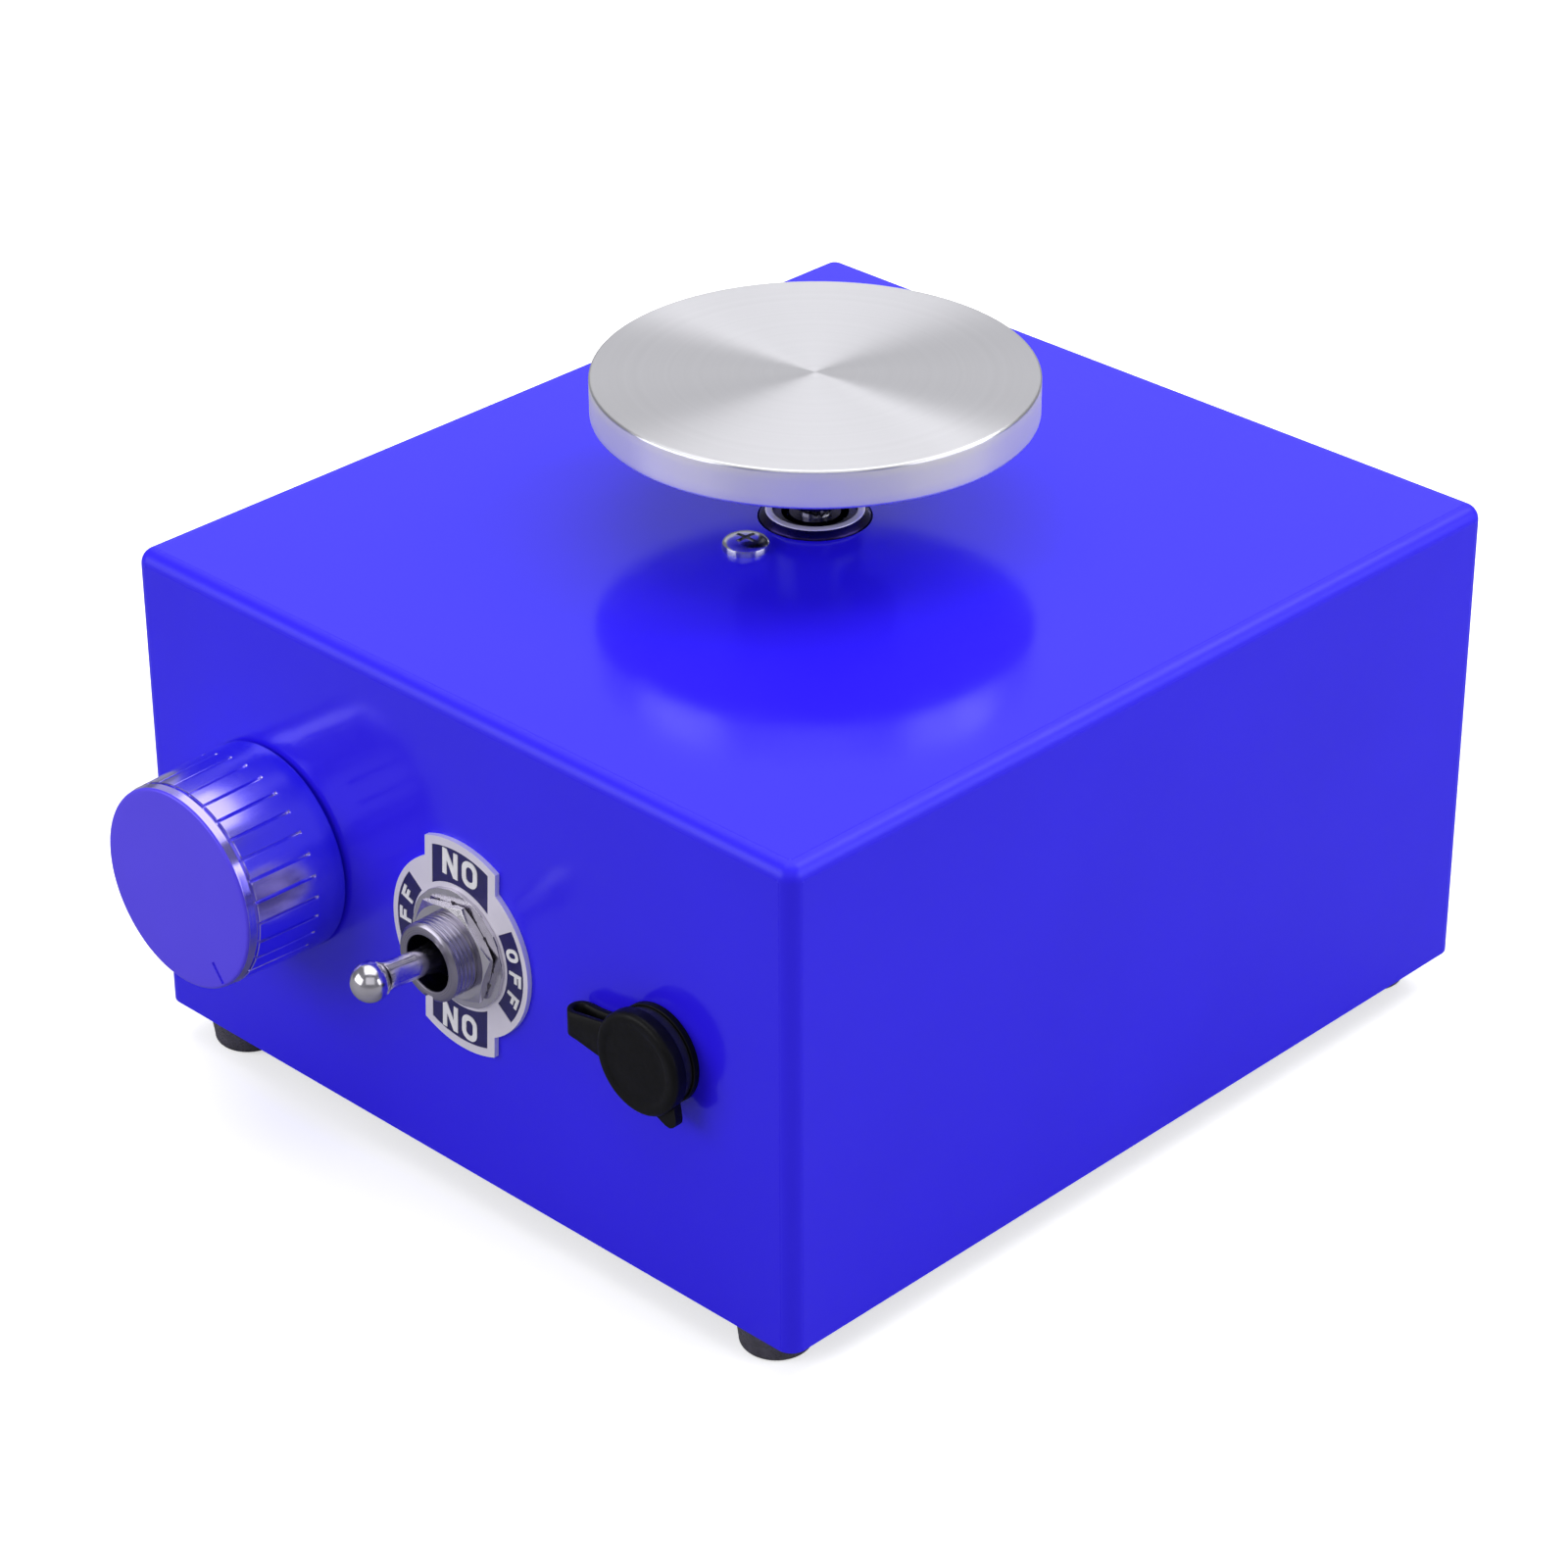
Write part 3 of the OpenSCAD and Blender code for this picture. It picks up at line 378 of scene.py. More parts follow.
def turned_metal(name, color, rough, axis, amount, per_mm, center, marks):
    """Metal with turning marks that run round an axis: fine rings in colour and gloss."""
    n = Nodes(name)
    x, y, z = n.parts()
    across, along = ((x, y), z) if axis == "Z" else ((x, z), y)
    middle = (center[0], center[1]) if axis == "Z" else (center[0], center[2])
    a, b = (n.math("SUBTRACT", v, c * MM) for v, c in zip(across, middle))
    radius = n.math("SQRT", n.math("ADD", n.math("MULTIPLY", a, a), n.math("MULTIPLY", b, b)))
    where = n.math("ADD", radius, along)
    fine = n.lines(where, per_mm)
    broad = n.lines(where, per_mm / BROAD_MARKS, 2.0)
    n.link(n.tint(n.math("ADD", n.math("MULTIPLY", fine, 0.5), n.math("MULTIPLY", broad, 0.5)),
                  scaled(color, 1 - marks), scaled(color, 1 + marks * 0.4)),
           n.bsdf.inputs["Base Color"])
    n.link(n.spread(fine, rough - MARK_GLOSS, rough + MARK_GLOSS), n.bsdf.inputs["Roughness"])
    n.bump(fine, 0.12, 0.004)
    n.bsdf.inputs["Metallic"].default_value = 1.0
    n.tangent(axis, amount)
    return n.mat


BLUE = (0.028, 0.013, 0.98)
VIOLET = (0.1, 0.06, 0.99)
# By slot. Blender numbers a name that the frame has already used, so the number is cut off
MATERIALS = {finish.name.split(".")[0]: finish for finish in (
    powder_coat("blue_powder_coat", BLUE, rough=0.14, level=0.36),
    powder_coat("dark_powder_coat", (0.02, 0.018, 0.22), rough=0.32, level=0.5),
    surface("plated_steel", (0.66, 0.66, 0.7), metallic=1.0, rough=0.2, vary=0.05, rough_vary=0.05,
            grain=0.5, bump=0.03, bump_mm=0.004, bump_grain=2.0),
    surface("foot_rubber", (0.065, 0.06, 0.085), rough=0.3, vary=0.25, rough_vary=0.1, grain=0.7,
            bump=0.2, bump_mm=0.02, bump_grain=3.0, level=0.9),
    surface("cap_rubber", (0.003, 0.003, 0.004), rough=0.42, vary=0.3, rough_vary=0.06, grain=0.5,
            bump=0.1, bump_mm=0.02, bump_grain=2.0, level=0.14),
    surface("black_plastic", (0.012, 0.012, 0.013), rough=0.38, vary=0.2, rough_vary=0.08,
            grain=0.9, bump=0.15, bump_mm=0.02, bump_grain=5.0),
    surface("white_plastic", (0.78, 0.77, 0.73), rough=0.4, vary=0.04, rough_vary=0.06, grain=0.9,
            bump=0.1, bump_mm=0.02, bump_grain=5.0),
    surface("magnet_ferrite", (0.05, 0.048, 0.046), metallic=0.2, rough=0.6, vary=0.3,
            rough_vary=0.1, grain=1.5, bump=0.4, bump_mm=0.04, bump_grain=3.0),
    surface("bearing_steel", (0.66, 0.67, 0.69), metallic=1.0, rough=0.14, vary=0.05,
            rough_vary=0.04, grain=1.0, bump=0.03, bump_mm=0.005, bump_grain=8.0),
    surface("brass", (0.82, 0.6, 0.27), metallic=1.0, rough=0.28, vary=0.1, rough_vary=0.08,
            grain=0.8, bump=0.08, bump_mm=0.01, bump_grain=6.0),
    surface("nickel_chrome", (0.62, 0.6, 0.66), metallic=1.0, rough=0.2, vary=0.05,
            rough_vary=0.05, grain=0.5, bump=0.03, bump_mm=0.004, bump_grain=2.0),
    surface("printed_plate", (0.84, 0.8, 0.92), metallic=0.2, rough=0.34, vary=0.02,
            rough_vary=0.05, grain=0.3, bump=0.02, bump_mm=0.004, bump_grain=2.0),
    surface("board_green", (0.015, 0.16, 0.05), rough=0.3, vary=0.2, rough_vary=0.08, grain=0.4,
            bump=0.15, bump_mm=0.02, bump_grain=3.0, coat=0.3),
    surface("wire_red", (0.55, 0.02, 0.015), rough=0.4, vary=0.1, rough_vary=0.08, grain=1.2,
            bump=0.1, bump_mm=0.01, bump_grain=6.0),
    surface("wire_black", (0.014, 0.014, 0.015), rough=0.42, vary=0.2, rough_vary=0.08, grain=1.2,
            bump=0.1, bump_mm=0.01, bump_grain=6.0),
    turned_metal("brushed_aluminium", (0.77, 0.765, 0.8), rough=0.35, axis="Z", amount=0.87,
                 per_mm=11.0, center=disc_mid, marks=0.035),
    surface("black_oxide_steel", (0.06, 0.06, 0.065), metallic=1.0, rough=0.32, vary=0.2,
            rough_vary=0.08, grain=1.2, bump=0.1, bump_mm=0.01, bump_grain=6.0),
    surface("core_steel", (0.32, 0.32, 0.34), metallic=1.0, rough=0.4, vary=0.12, rough_vary=0.1,
            grain=2.0, bump=0.2, bump_mm=0.02, bump_grain=6.0),
    surface("enamelled_copper", (0.62, 0.2, 0.07), metallic=1.0, rough=0.3, vary=0.15,
            rough_vary=0.08, grain=3.0, bump=0.4, bump_mm=0.05, bump_grain=4.0),
    surface("anodised_aluminium", VIOLET, metallic=0.1, rough=0.36, vary=0.03, rough_vary=0.02,
            grain=0.05, bump=0.01, bump_mm=0.002, bump_grain=0.3),
)}

# Finishes for a part of a piece, beside its slot's own
# The grip is the same anodised metal as the face: its turning marks are real, and its lighter
# lavender colour is a painted highlight
grip_highlight_finish = turned_metal("anodised_grip_painted_highlight", (0.36, 0.3, 0.99), rough=0.22, axis="Y", amount=0.3,
                           per_mm=7.0, center=KNOB, marks=0.02)
grip_shader = grip_highlight_finish.node_tree.nodes["Principled BSDF"].inputs
grip_shader["Coat Weight"].default_value = 0.6
grip_shader["Coat Roughness"].default_value = 0.16
grip_shader["Coat IOR"].default_value = 2.4
# The rim is the same aluminium as the face: its turning marks are real, and its lighter,
# cream-tinted, partly diffuse colour is a painted sheen
rim_sheen_finish = turned_metal("turned_rim_painted_sheen", (0.9, 0.88, 0.72), rough=0.36, axis="Z", amount=0.5,
                          per_mm=6.0, center=disc_mid, marks=0.01)
rim_sheen_finish.node_tree.nodes["Principled BSDF"].inputs["Metallic"].default_value = 0.55
# Near-white and mostly diffuse: a painted highlight for the boss's upper edge
lip_highlight_finish = surface("painted_highlight_lip", (0.9, 0.87, 0.98), metallic=0.25, rough=0.22, vary=0.02,
                     rough_vary=0.03, grain=0.5, bump=0.02, bump_mm=0.004, bump_grain=2.0)
# Near-black navy steel: painted shade, for plated parts that lie in shade under the disc and in
# the bushing's mouth
painted_shade_steel = surface("painted_shade_steel", (0.02, 0.014, 0.07), metallic=1.0, rough=0.3, vary=0.1,
                     rough_vary=0.05, grain=0.5, bump=0.03, bump_mm=0.004, bump_grain=2.0)
bushing_finish = turned_metal("switch_bushing", (0.34, 0.32, 0.4), rough=0.3, axis="Y", amount=0.5,
                              per_mm=5.0, center=PLATE, marks=0.05)
edge_coat = powder_coat("blue_powder_edge", BLUE, rough=0.4, level=0.3)
navy_print = surface("navy_print", (0.012, 0.008, 0.11), rough=0.34, vary=0.15, rough_vary=0.06,
                     grain=0.8, bump=0.08, bump_mm=0.01, bump_grain=5.0)
letter_print = surface("letter_print", (0.88, 0.87, 0.9), rough=0.36, vary=0.04, rough_vary=0.06,
                       grain=0.8, bump=0.08, bump_mm=0.01, bump_grain=5.0)

# What the floor gives back to the object, and what it shines with in view
THROWN_BACK = (0.36, 0.36, 0.37, 1)
FLOOR_GLOW = 0.55


def pale_floor():
    """A pale sheet that looks lit through, and throws back only part of the light."""
    n = Nodes("floor_finish")
    paper = n.tint(n.noise(0.02), (0.9, 0.9, 0.9), (0.93, 0.93, 0.93))
    seen = n.add("ShaderNodeLightPath").outputs["Is Camera Ray"]
    # The mix node's colour sockets are told apart by number: 6, 7 and output 2
    mix = n.add("ShaderNodeMix", data_type="RGBA")
    n.link(seen, mix.inputs[0])
    mix.inputs[6].default_value = THROWN_BACK
    n.link(paper, mix.inputs[7])
    n.link(mix.outputs[2], n.bsdf.inputs["Base Color"])
    n.link(n.math("MULTIPLY", seen, FLOOR_GLOW), n.bsdf.inputs["Emission Strength"])
    n.bsdf.inputs["Emission Color"].default_value = (1, 1, 1, 1)
    n.bsdf.inputs["Roughness"].default_value = 0.9
    n.bsdf.inputs["Specular IOR Level"].default_value = 0
    return n.mat


floor_finish = pale_floor()

# Every CAD node takes its slot's finish
for node_name, node_object in frame["nodes"].items():
    node_object.data.materials.clear()
    node_object.data.materials.append(MATERIALS[SLOT_OF[node_name]])

# --------------------------------------------------------------------- case
WALL, EDGE = 1.5, 2.5
BOSS_HOLE_R, MOTOR_HOLE_R, FLOOR_HOLE_R = 8.5, 2.15, 1.5
KNOB_HOLE_R, SWITCH_HOLE_R, JACK_HOLE_R = 3.6, 6.1, 5.9
SCREW_OUT = 14.5


def soft_box(w, d, z0, z1, r, segments):
    """A box standing on z0 with round upright and upper edges."""
    bm = bmesh.new()
    place = moved(0, case_mid.y, (z0 + z1) / 2) @ Matrix.Diagonal((w, d, z1 - z0, 1))
    bmesh.ops.create_cube(bm, size=1, matrix=place)
    low = min(v.co.z for v in bm.verts) + 0.01
    edges = [e for e in bm.edges if max(v.co.z for v in e.verts) > low]
    bmesh.ops.bevel(bm, geom=edges, offset=r, segments=segments, profile=0.5,
                    affect="EDGES", clamp_overlap=False)
    part = [v.co.copy() for v in bm.verts], [[v.index for v in f.verts] for f in bm.faces]
    bm.free()
    return part


def soft_normals(obj, low, high, r):
    """Exact normals for the flat sides and round edges of a soft box."""
    mesh = obj.data
    core_low = Vector((low.x + r, low.y + r, low.z - 1)) * MM
    core_high = Vector((high.x - r, high.y - r, high.z - r)) * MM
    normals = [None] * len(mesh.loops)
    for face in mesh.polygons:
        for i in face.loop_indices:
            p = mesh.vertices[mesh.loops[i].vertex_index].co
            q = Vector([min(max(c, a), b) for c, a, b in zip(p, core_low, core_high)])
            away = p - q
            on_skin = away.length > 0.98 * r * MM and away.normalized().dot(face.normal) > 0.9
            normals[i] = away.normalized() if on_skin else face.normal.copy()
    mesh.normals_split_custom_set(normals)


TAB_L, TAB_W, TAB_T, TAB_OUT, MIDDLE_TAB_X = 10, 8, 2, 40, 22
FLOOR_Z = case_low.z + WALL
case_w, case_d = case_high.x - case_low.x, case_high.y - case_low.y
tab_places = [(sx * (case_w / 2 - WALL - TAB_W / 2), case_mid.y + sy * TAB_OUT, 0)
              for sx in (-1, 1) for sy in (-1, 1)]
tab_places += [(MIDDLE_TAB_X, case_mid.y + sy * (case_d / 2 - WALL - TAB_W / 2), 90)
               for sy in (-1, 1)]
half_w, half_l = TAB_W / 2 + WALL / 3, TAB_L / 2
tab = prism([(-half_w, -half_l), (half_w, -half_l), (half_w, half_l), (-half_w, half_l)], 0, TAB_T)

case = make("case_cover", soft_box(case_w, case_d, case_low.z, TOP_Z, EDGE, 10))
carve(case, soft_box(case_w - 2 * WALL, case_d - 2 * WALL, case_low.z - 1, TOP_Z - WALL,
                     EDGE - WALL, 5))
carve(case, together(*[at(moved(x, y, FLOOR_Z) @ turned(a), tab) for x, y, a in tab_places]),
      how="UNION")
screw_places = [AXIS @ moved(0, y, TOP_Z) for y in (-SCREW_OUT, SCREW_OUT)]
through = [at(AXIS @ moved(0, 0, TOP_Z), rod(BOSS_HOLE_R, -3, 2, 96))]
through += [at(p, rod(MOTOR_HOLE_R, -3, 2, 32)) for p in screw_places]
through += [at(moved(x, y, FLOOR_Z), rod(FLOOR_HOLE_R, -1, 3, 32)) for x, y, a in tab_places]
through += [at(on_panel(x), rod(r, -3, 2, 64))
            for x, r in ((KNOB.x, KNOB_HOLE_R), (PLATE.x, SWITCH_HOLE_R), (JACK.x, JACK_HOLE_R))]
carve(case, together(*through))
soft_normals(case, case_low, case_high, EDGE)
# The rounded edges are a little less glossy than the flat sides
FLAT = 0.995
two_finishes(case, MATERIALS["blue_powder_coat"], edge_coat,
             lambda face, radius, z: max(abs(c) for c in face.normal) < FLAT)
finish_piece(case, "case", "blue_powder_coat", "case_shell")

# ---------------------------------------------------------------- turntable
DISC_R = (disc_high.x - disc_low.x) / 2
DISC_T = disc_high.z - disc_low.z
DISC_ROUND, RING_STEP = 0.45, 0.35
HUB_SCREW_OUT, HUB_SCREW_R, HUB_SCREW_DEPTH, HUB_SCREW_TURN = 9.5, 1.5, 3.6, 30


def ring_height(r):
    """Faint steps that the lathe left on the face."""
    return DISC_T - 0.002 + 0.0005 * math.sin(r * 3.7)


at_disc = AXIS @ moved(0, 0, disc_low.z)
profile = [(0, 0)] + [(r, 0) for r in (8, 16, 24)]
profile += arc(DISC_R - DISC_ROUND, DISC_ROUND, DISC_ROUND, 270, 360, 6)
profile += [(DISC_R, DISC_T * k) for k in (0.3, 0.5, 0.7)]
profile += arc(DISC_R - DISC_ROUND, DISC_T - DISC_ROUND, DISC_ROUND, 0, 90, 6)
face_r = DISC_R - DISC_ROUND - 0.3
profile += [(face_r - RING_STEP * i, ring_height(face_r - RING_STEP * i))
            for i in range(int(face_r / RING_STEP))]
profile += [(0, ring_height(0))]
disc = make("turntable_disc", lathe(profile, 192), at_disc)
carve(disc, together(*[at(at_disc @ turned(a + HUB_SCREW_TURN) @ moved(HUB_SCREW_OUT, 0, 0),
                          rod(HUB_SCREW_R, -1, HUB_SCREW_DEPTH, 32)) for a in (0, 120, 240)]))
RIM_FACE_AREA = 0.2 * MM * MM
# The rim's faces take the lighter copy, whose colour is a painted sheen
two_finishes(disc, MATERIALS["brushed_aluminium"], rim_sheen_finish,
             lambda face, radius, z: abs(face.normal.z) < 0.5 and face.area > RIM_FACE_AREA)
finish_piece(disc, "spindle", "brushed_aluminium", "turntable")

# -------------------------------------------------------------------- motor
BOSS_TOP = cad_mm("motor_can")[1].z
CAD_EDGE = 0.25
# A thin ring round the bearing, on the boss's upper edge, in a near-white finish that is a painted
# highlight
lip = [(6.3, -0.35), (7.2, -0.35), (7.38, -0.2), (7.36, -0.04), (7.2, 0.04), (6.95, 0.06),
       (6.5, 0.06), (6.3, -0.06)]
boss_lip = make("motor_boss_lip", lathe(lip, 128, loop=True), AXIS @ moved(0, 0, BOSS_TOP))
finish_piece(boss_lip, "case", "plated_steel", material=lip_highlight_finish)
# The motor's can and the bearing are plated steel: the near-black navy on them is painted shade
# under the disc
for name in ("motor_can", "bearing_outer_ring", "bearing_inner_ring", "bearing_balls"):
    frame["nodes"][name].data.materials[0] = painted_shade_steel
for name in ("motor_can", "turntable_hub", "motor_shaft", "hub_screws", "foot_screws",
             "base_screws"):
    ease(frame["nodes"][name], CAD_EDGE, 3, weld=True)


def cross_screw(head_r, head_h, shank_r, shank_l):
    """A pan-head screw with a cross recess: the head above z = 0."""
    dome = [(head_r, 0), (head_r, 0.15), (head_r - 0.02, head_h * 0.4)]
    dome += [(head_r * math.cos(a) ** 0.6, head_h * (0.4 + 0.6 * math.sin(a)))
             for a in [math.radians(15 * i) for i in range(1, 6)]] + [(0, head_h)]
    return lathe([(0, -shank_l), (shank_r - 0.3, -shank_l), (shank_r, 0.3 - shank_l),
                  (shank_r, 0)] + dome, 48)


def cross_recess(arm, half, z0, z1):
    pts = [(arm, -half), (arm, half), (half, half), (half, arm), (-half, arm), (-half, half),
           (-arm, half), (-arm, -half), (-half, -half), (-half, -arm), (half, -arm), (half, -half)]
    return prism(pts, z0, z1)


HEAD_R, HEAD_H, SHANK_R, SHANK_L = 3.5, 1.7, 2, 5
RECESS_ARM, RECESS_HALF, RECESS_FLOOR = 1.75, 0.35, 0.7
screws = make("motor_screws_finished", together(*[
    at(p, cross_screw(HEAD_R, HEAD_H, SHANK_R, SHANK_L)) for p in screw_places]))
carve(screws, together(*[at(p, cross_recess(RECESS_ARM, RECESS_HALF, RECESS_FLOOR, 3))
                         for p in screw_places]))
finish_piece(screws, "case", "plated_steel", "motor_screws")

# --------------------------------------------------------------------- knob
KNOB_R, KNOB_FACE_R, KNOB_TOP, KNOB_GAP, KNOB_ROUND = 16.2, 15.5, 18.3, 0.5, 0.5
LOW_ROUND, GRIP_IN, GRIP_BELOW = 0.3, 14.6, 0.4
GROOVE_Z, GROOVE_W, GROOVE_D = 16.2, 0.5, 0.45
FLUTE_LOW, FLUTES, FLUTE_D = 5.5, 30, 0.45
CUP_R, CUP_TOP = 13.4, 15.1
slope = (KNOB_R - KNOB_FACE_R - 0.1) / (KNOB_TOP - KNOB_GAP)
flute_shape = ((-1.05, 0), (-0.9, 0.06), (-0.75, 0.35), (-0.4, 0.9), (0, 1), (0.4, 0.9),
               (0.75, 0.35), (0.9, 0.06), (1.05, 0), (3.5, 0), (6, 0), (8.5, 0))
flute_angles = [360 / FLUTES * i + a for i in range(FLUTES) for a, _ in flute_shape]
depth_of = {round(math.radians(360 / FLUTES * i + a), 6): d
            for i in range(FLUTES) for a, d in flute_shape}


def grip_radius(r, z, a):
    """Radius of the knob with its thin flutes cut in."""
    if r < 14.5 or not FLUTE_LOW - 0.01 < z < GROOVE_Z + 0.01:
        return r
    fade = min(1.0, (z - FLUTE_LOW) / 0.5)
    return r - FLUTE_D * depth_of[round(a, 6)] * math.sin(fade * math.pi / 2)


def grip(z):
    return KNOB_R - slope * (z - KNOB_GAP)


low_rounds = arc(KNOB_R - LOW_ROUND, KNOB_GAP + LOW_ROUND, LOW_ROUND, 270, 360, 4)
outline = [(CUP_R, KNOB_GAP)] + low_rounds
outline += [(grip(z), z) for z in (3, 5.45, 5.5, 5.6, 5.75, 6, 8, 11, 14, GROOVE_Z - 0.12)]
outline += [(grip(GROOVE_Z) - 0.1, GROOVE_Z), (grip(GROOVE_Z) - GROOVE_D, GROOVE_Z + 0.02),
            (grip(GROOVE_Z) - GROOVE_D, GROOVE_Z + GROOVE_W - 0.02),
            (grip(GROOVE_Z) - 0.1, GROOVE_Z + GROOVE_W),
            (grip(GROOVE_Z), GROOVE_Z + GROOVE_W + 0.1)]
outline += arc(KNOB_FACE_R - KNOB_ROUND, KNOB_TOP - KNOB_ROUND, KNOB_ROUND, 0, 90, 6)
outline += [(r, KNOB_TOP) for r in (15, 14, 10, 5, 0)] + [(0, CUP_TOP), (CUP_R, CUP_TOP)]
at_knob = on_panel(KNOB.x)
knob = make("knob_turned", lathe(outline, flute_angles, grip_radius, loop=True), at_knob)
MARK_IN, MARK_OUT, MARK_HALF, MARK_TURN = KNOB_FACE_R - 3.9, KNOB_FACE_R - 0.5, 0.35, -53
GRUB_R, GRUB_Z, GRUB_TURN = 1.8, 9, -150
mark = [(MARK_IN, -MARK_HALF), (MARK_OUT, -MARK_HALF), (MARK_OUT, MARK_HALF), (MARK_IN, MARK_HALF)]
carve(knob, together(
    at(turned(MARK_TURN), prism(mark, KNOB_TOP - 0.3, KNOB_TOP + 1)),
    at(turned(GRUB_TURN) @ moved(0, 0, GRUB_Z) @ turned(90, "Y"), rod(GRUB_R, 8, 20, 48))),
    at_knob)
# The grip's faces take the lighter copy, whose colour is a painted highlight
two_finishes(knob, MATERIALS["anodised_aluminium"], grip_highlight_finish,
             lambda face, radius, z: radius > GRIP_IN and z < KNOB_TOP - GRIP_BELOW, at_knob)
finish_piece(knob, "speed_knob", "anodised_aluminium", "knob_shell")

# ------------------------------------------------------------- legend plate
PLATE_T, PLATE_R, TAB_REACH, TAB_HALF = 0.8, 13.9, 16.9, 7.2
PLATE_TURN = -3
INK = 0.14


def plate_radius(a):
    """Distance from the plate's middle to its edge, at angle a in radians."""
    side = TAB_HALF / max(abs(math.cos(a)), 1e-6)
    return max(PLATE_R, min(TAB_REACH, side))


corner_angles = [math.degrees(math.acos(TAB_HALF / r)) for r in (PLATE_R, TAB_REACH)]
angles = sorted({2.5 * i for i in range(144)} | {s + f * c for c in corner_angles
                                                 for s, f in ((0, 1), (180, -1), (180, 1),
                                                              (360, -1))})
edge_line = [(plate_radius(math.radians(a)) * math.cos(math.radians(a)),
              plate_radius(math.radians(a)) * math.sin(math.radians(a))) for a in angles]
bore_line = [(SWITCH_HOLE_R * math.cos(math.radians(a)),
              SWITCH_HOLE_R * math.sin(math.radians(a))) for a in angles]
at_plate = on_panel(PLATE.x) @ turned(PLATE_TURN)
plate = make("legend_plate_face", ring_prism(edge_line, bore_line, 0, PLATE_T), at_plate)


def sector(r0, r1, a0, a1, n=16):
    """Part of a ring, between two radii and two angles in degrees."""
    return arc(0, 0, r1, a0, a1, n) + arc(0, 0, r0, a1, a0, n)


def tab_field(sign):
    """Dark field on a tab: straight sides, round outside and hollow inside."""
    half, outer, inner = TAB_HALF - 1.5, TAB_REACH - 1.3, 9.9
    a_out, a_in = (math.degrees(math.acos(half / r)) for r in (outer, inner))
    pts = arc(0, 0, outer, a_out, 180 - a_out, 14) + arc(0, 0, inner, 180 - a_in, a_in, 14)
    return pts if sign > 0 else [(-x, -y) for x, y in pts]


SIDE_IN, SIDE_OUT, SIDE_SPAN = 9.7, 13.0, 36
fields = [tab_field(1), tab_field(-1), sector(SIDE_IN, SIDE_OUT, -SIDE_SPAN, SIDE_SPAN),
          sector(SIDE_IN, SIDE_OUT, 180 - SIDE_SPAN, 180 + SIDE_SPAN)]
carve(plate, together(*[prism(f, PLATE_T - INK, PLATE_T + 1) for f in fields]), at_plate)
ease(plate, 0.1)
finish_piece(plate, "case", "printed_plate", "legend_plate")
ink = make("legend_fields", together(*[prism(f, PLATE_T - INK - 0.02, PLATE_T - INK + 0.04)
                                       for f in fields]), at_plate)
finish_piece(ink, "case", "printed_plate", material=navy_print)


def letter_n(w, h, s):
    return [prism([(0, 0), (s, 0), (s, h * 0.58), (w - s, 0), (w, 0), (w, h), (w - s, h),
                   (w - s, h * 0.42), (s, h), (0, h)], 0, 1)]


def letter_f(w, h, s):
    return [prism([(0, 0), (s, 0), (s, h * 0.42), (w * 0.85, h * 0.42), (w * 0.85, h * 0.42 + s),
                   (s, h * 0.42 + s), (s, h - s), (w, h - s), (w, h), (0, h)], 0, 1)]


def letter_o(w, h, s):
    def rounded(inset, r):
        a, b = w / 2 - inset, h / 2 - inset
        pts = []
        for cx, cy, a0 in ((a - r, b - r, 0), (r - a, b - r, 90), (r - a, r - b, 180),
                           (a - r, r - b, 270)):
            pts += arc(cx, cy, r, a0, a0 + 90, 6)
        return [(x + w / 2, y + h / 2) for x, y in pts]

    return [ring_prism(rounded(0, w * 0.45), rounded(s, w * 0.45 - s * 0.8), 0, 1)]


def word(letters, w, h, s, gap):
    """Letters side by side, centred on the origin."""
    total = len(letters) * w + (len(letters) - 1) * gap
    parts = []
    for i, letter in enumerate(letters):
        shift = moved(i * (w + gap) - total / 2, -h / 2, 0)
        parts += [at(shift, part) for part in letter(w, h, s)]
    return together(*parts)


def arc_word(letters, w, h, s, r, step):
    """Letters along an arc about the plate's middle, their feet towards it."""
    parts = []
    for i, letter in enumerate(letters):
        turn = turned(-(i - (len(letters) - 1) / 2) * step)
        shift = moved(-w / 2, r - h / 2, 0)
        parts += [at(turn @ shift, part) for part in letter(w, h, s)]
    return together(*parts)


on_word = word((letter_o, letter_n), 3.1, 4.2, 0.85, 0.9)
off_word = arc_word((letter_o, letter_f, letter_f), 2.0, 2.4, 0.55, 11.35, 19)
stand = moved(0, 0, PLATE_T - INK) @ Matrix.Diagonal((1, 1, INK + 0.02, 1))
letters = make("legend_letters", together(
    at(stand @ moved(0, 12.9, 0) @ turned(180), on_word),
    at(stand @ moved(0, -12.9, 0) @ turned(180), on_word),
    at(stand @ turned(-90), off_word), at(stand @ turned(90), off_word)), at_plate)
finish_piece(letters, "case", "printed_plate", material=letter_print)

# ------------------------------------------------------------------- switch
at_switch = on_panel(PLATE.x)
THREAD_R, THREAD_D, THREAD_PITCH = 6, 0.12, 0.75
MOUTH_R, NECK_R, BUSHING_TOP, FRAME_Z = 4.3, 3.6, 7, -5
KEY_HALF, KEY_FLOOR = 0.9, 5.1


def thread_radius(r, z, a):
    """Helical thread, with a flat-floored keyway facing down."""
    if r > THREAD_R - 0.05 and FRAME_Z + 0.3 < z < BUSHING_TOP - 0.45:
        turn = (z / THREAD_PITCH - a / math.tau) % 1
        r -= THREAD_D * abs(2 * turn - 1)
    if r > 5 and math.sin(a) < 0 and abs(r * math.cos(a)) < KEY_HALF:
        r = min(r, KEY_FLOOR / abs(math.sin(a)))
    return r


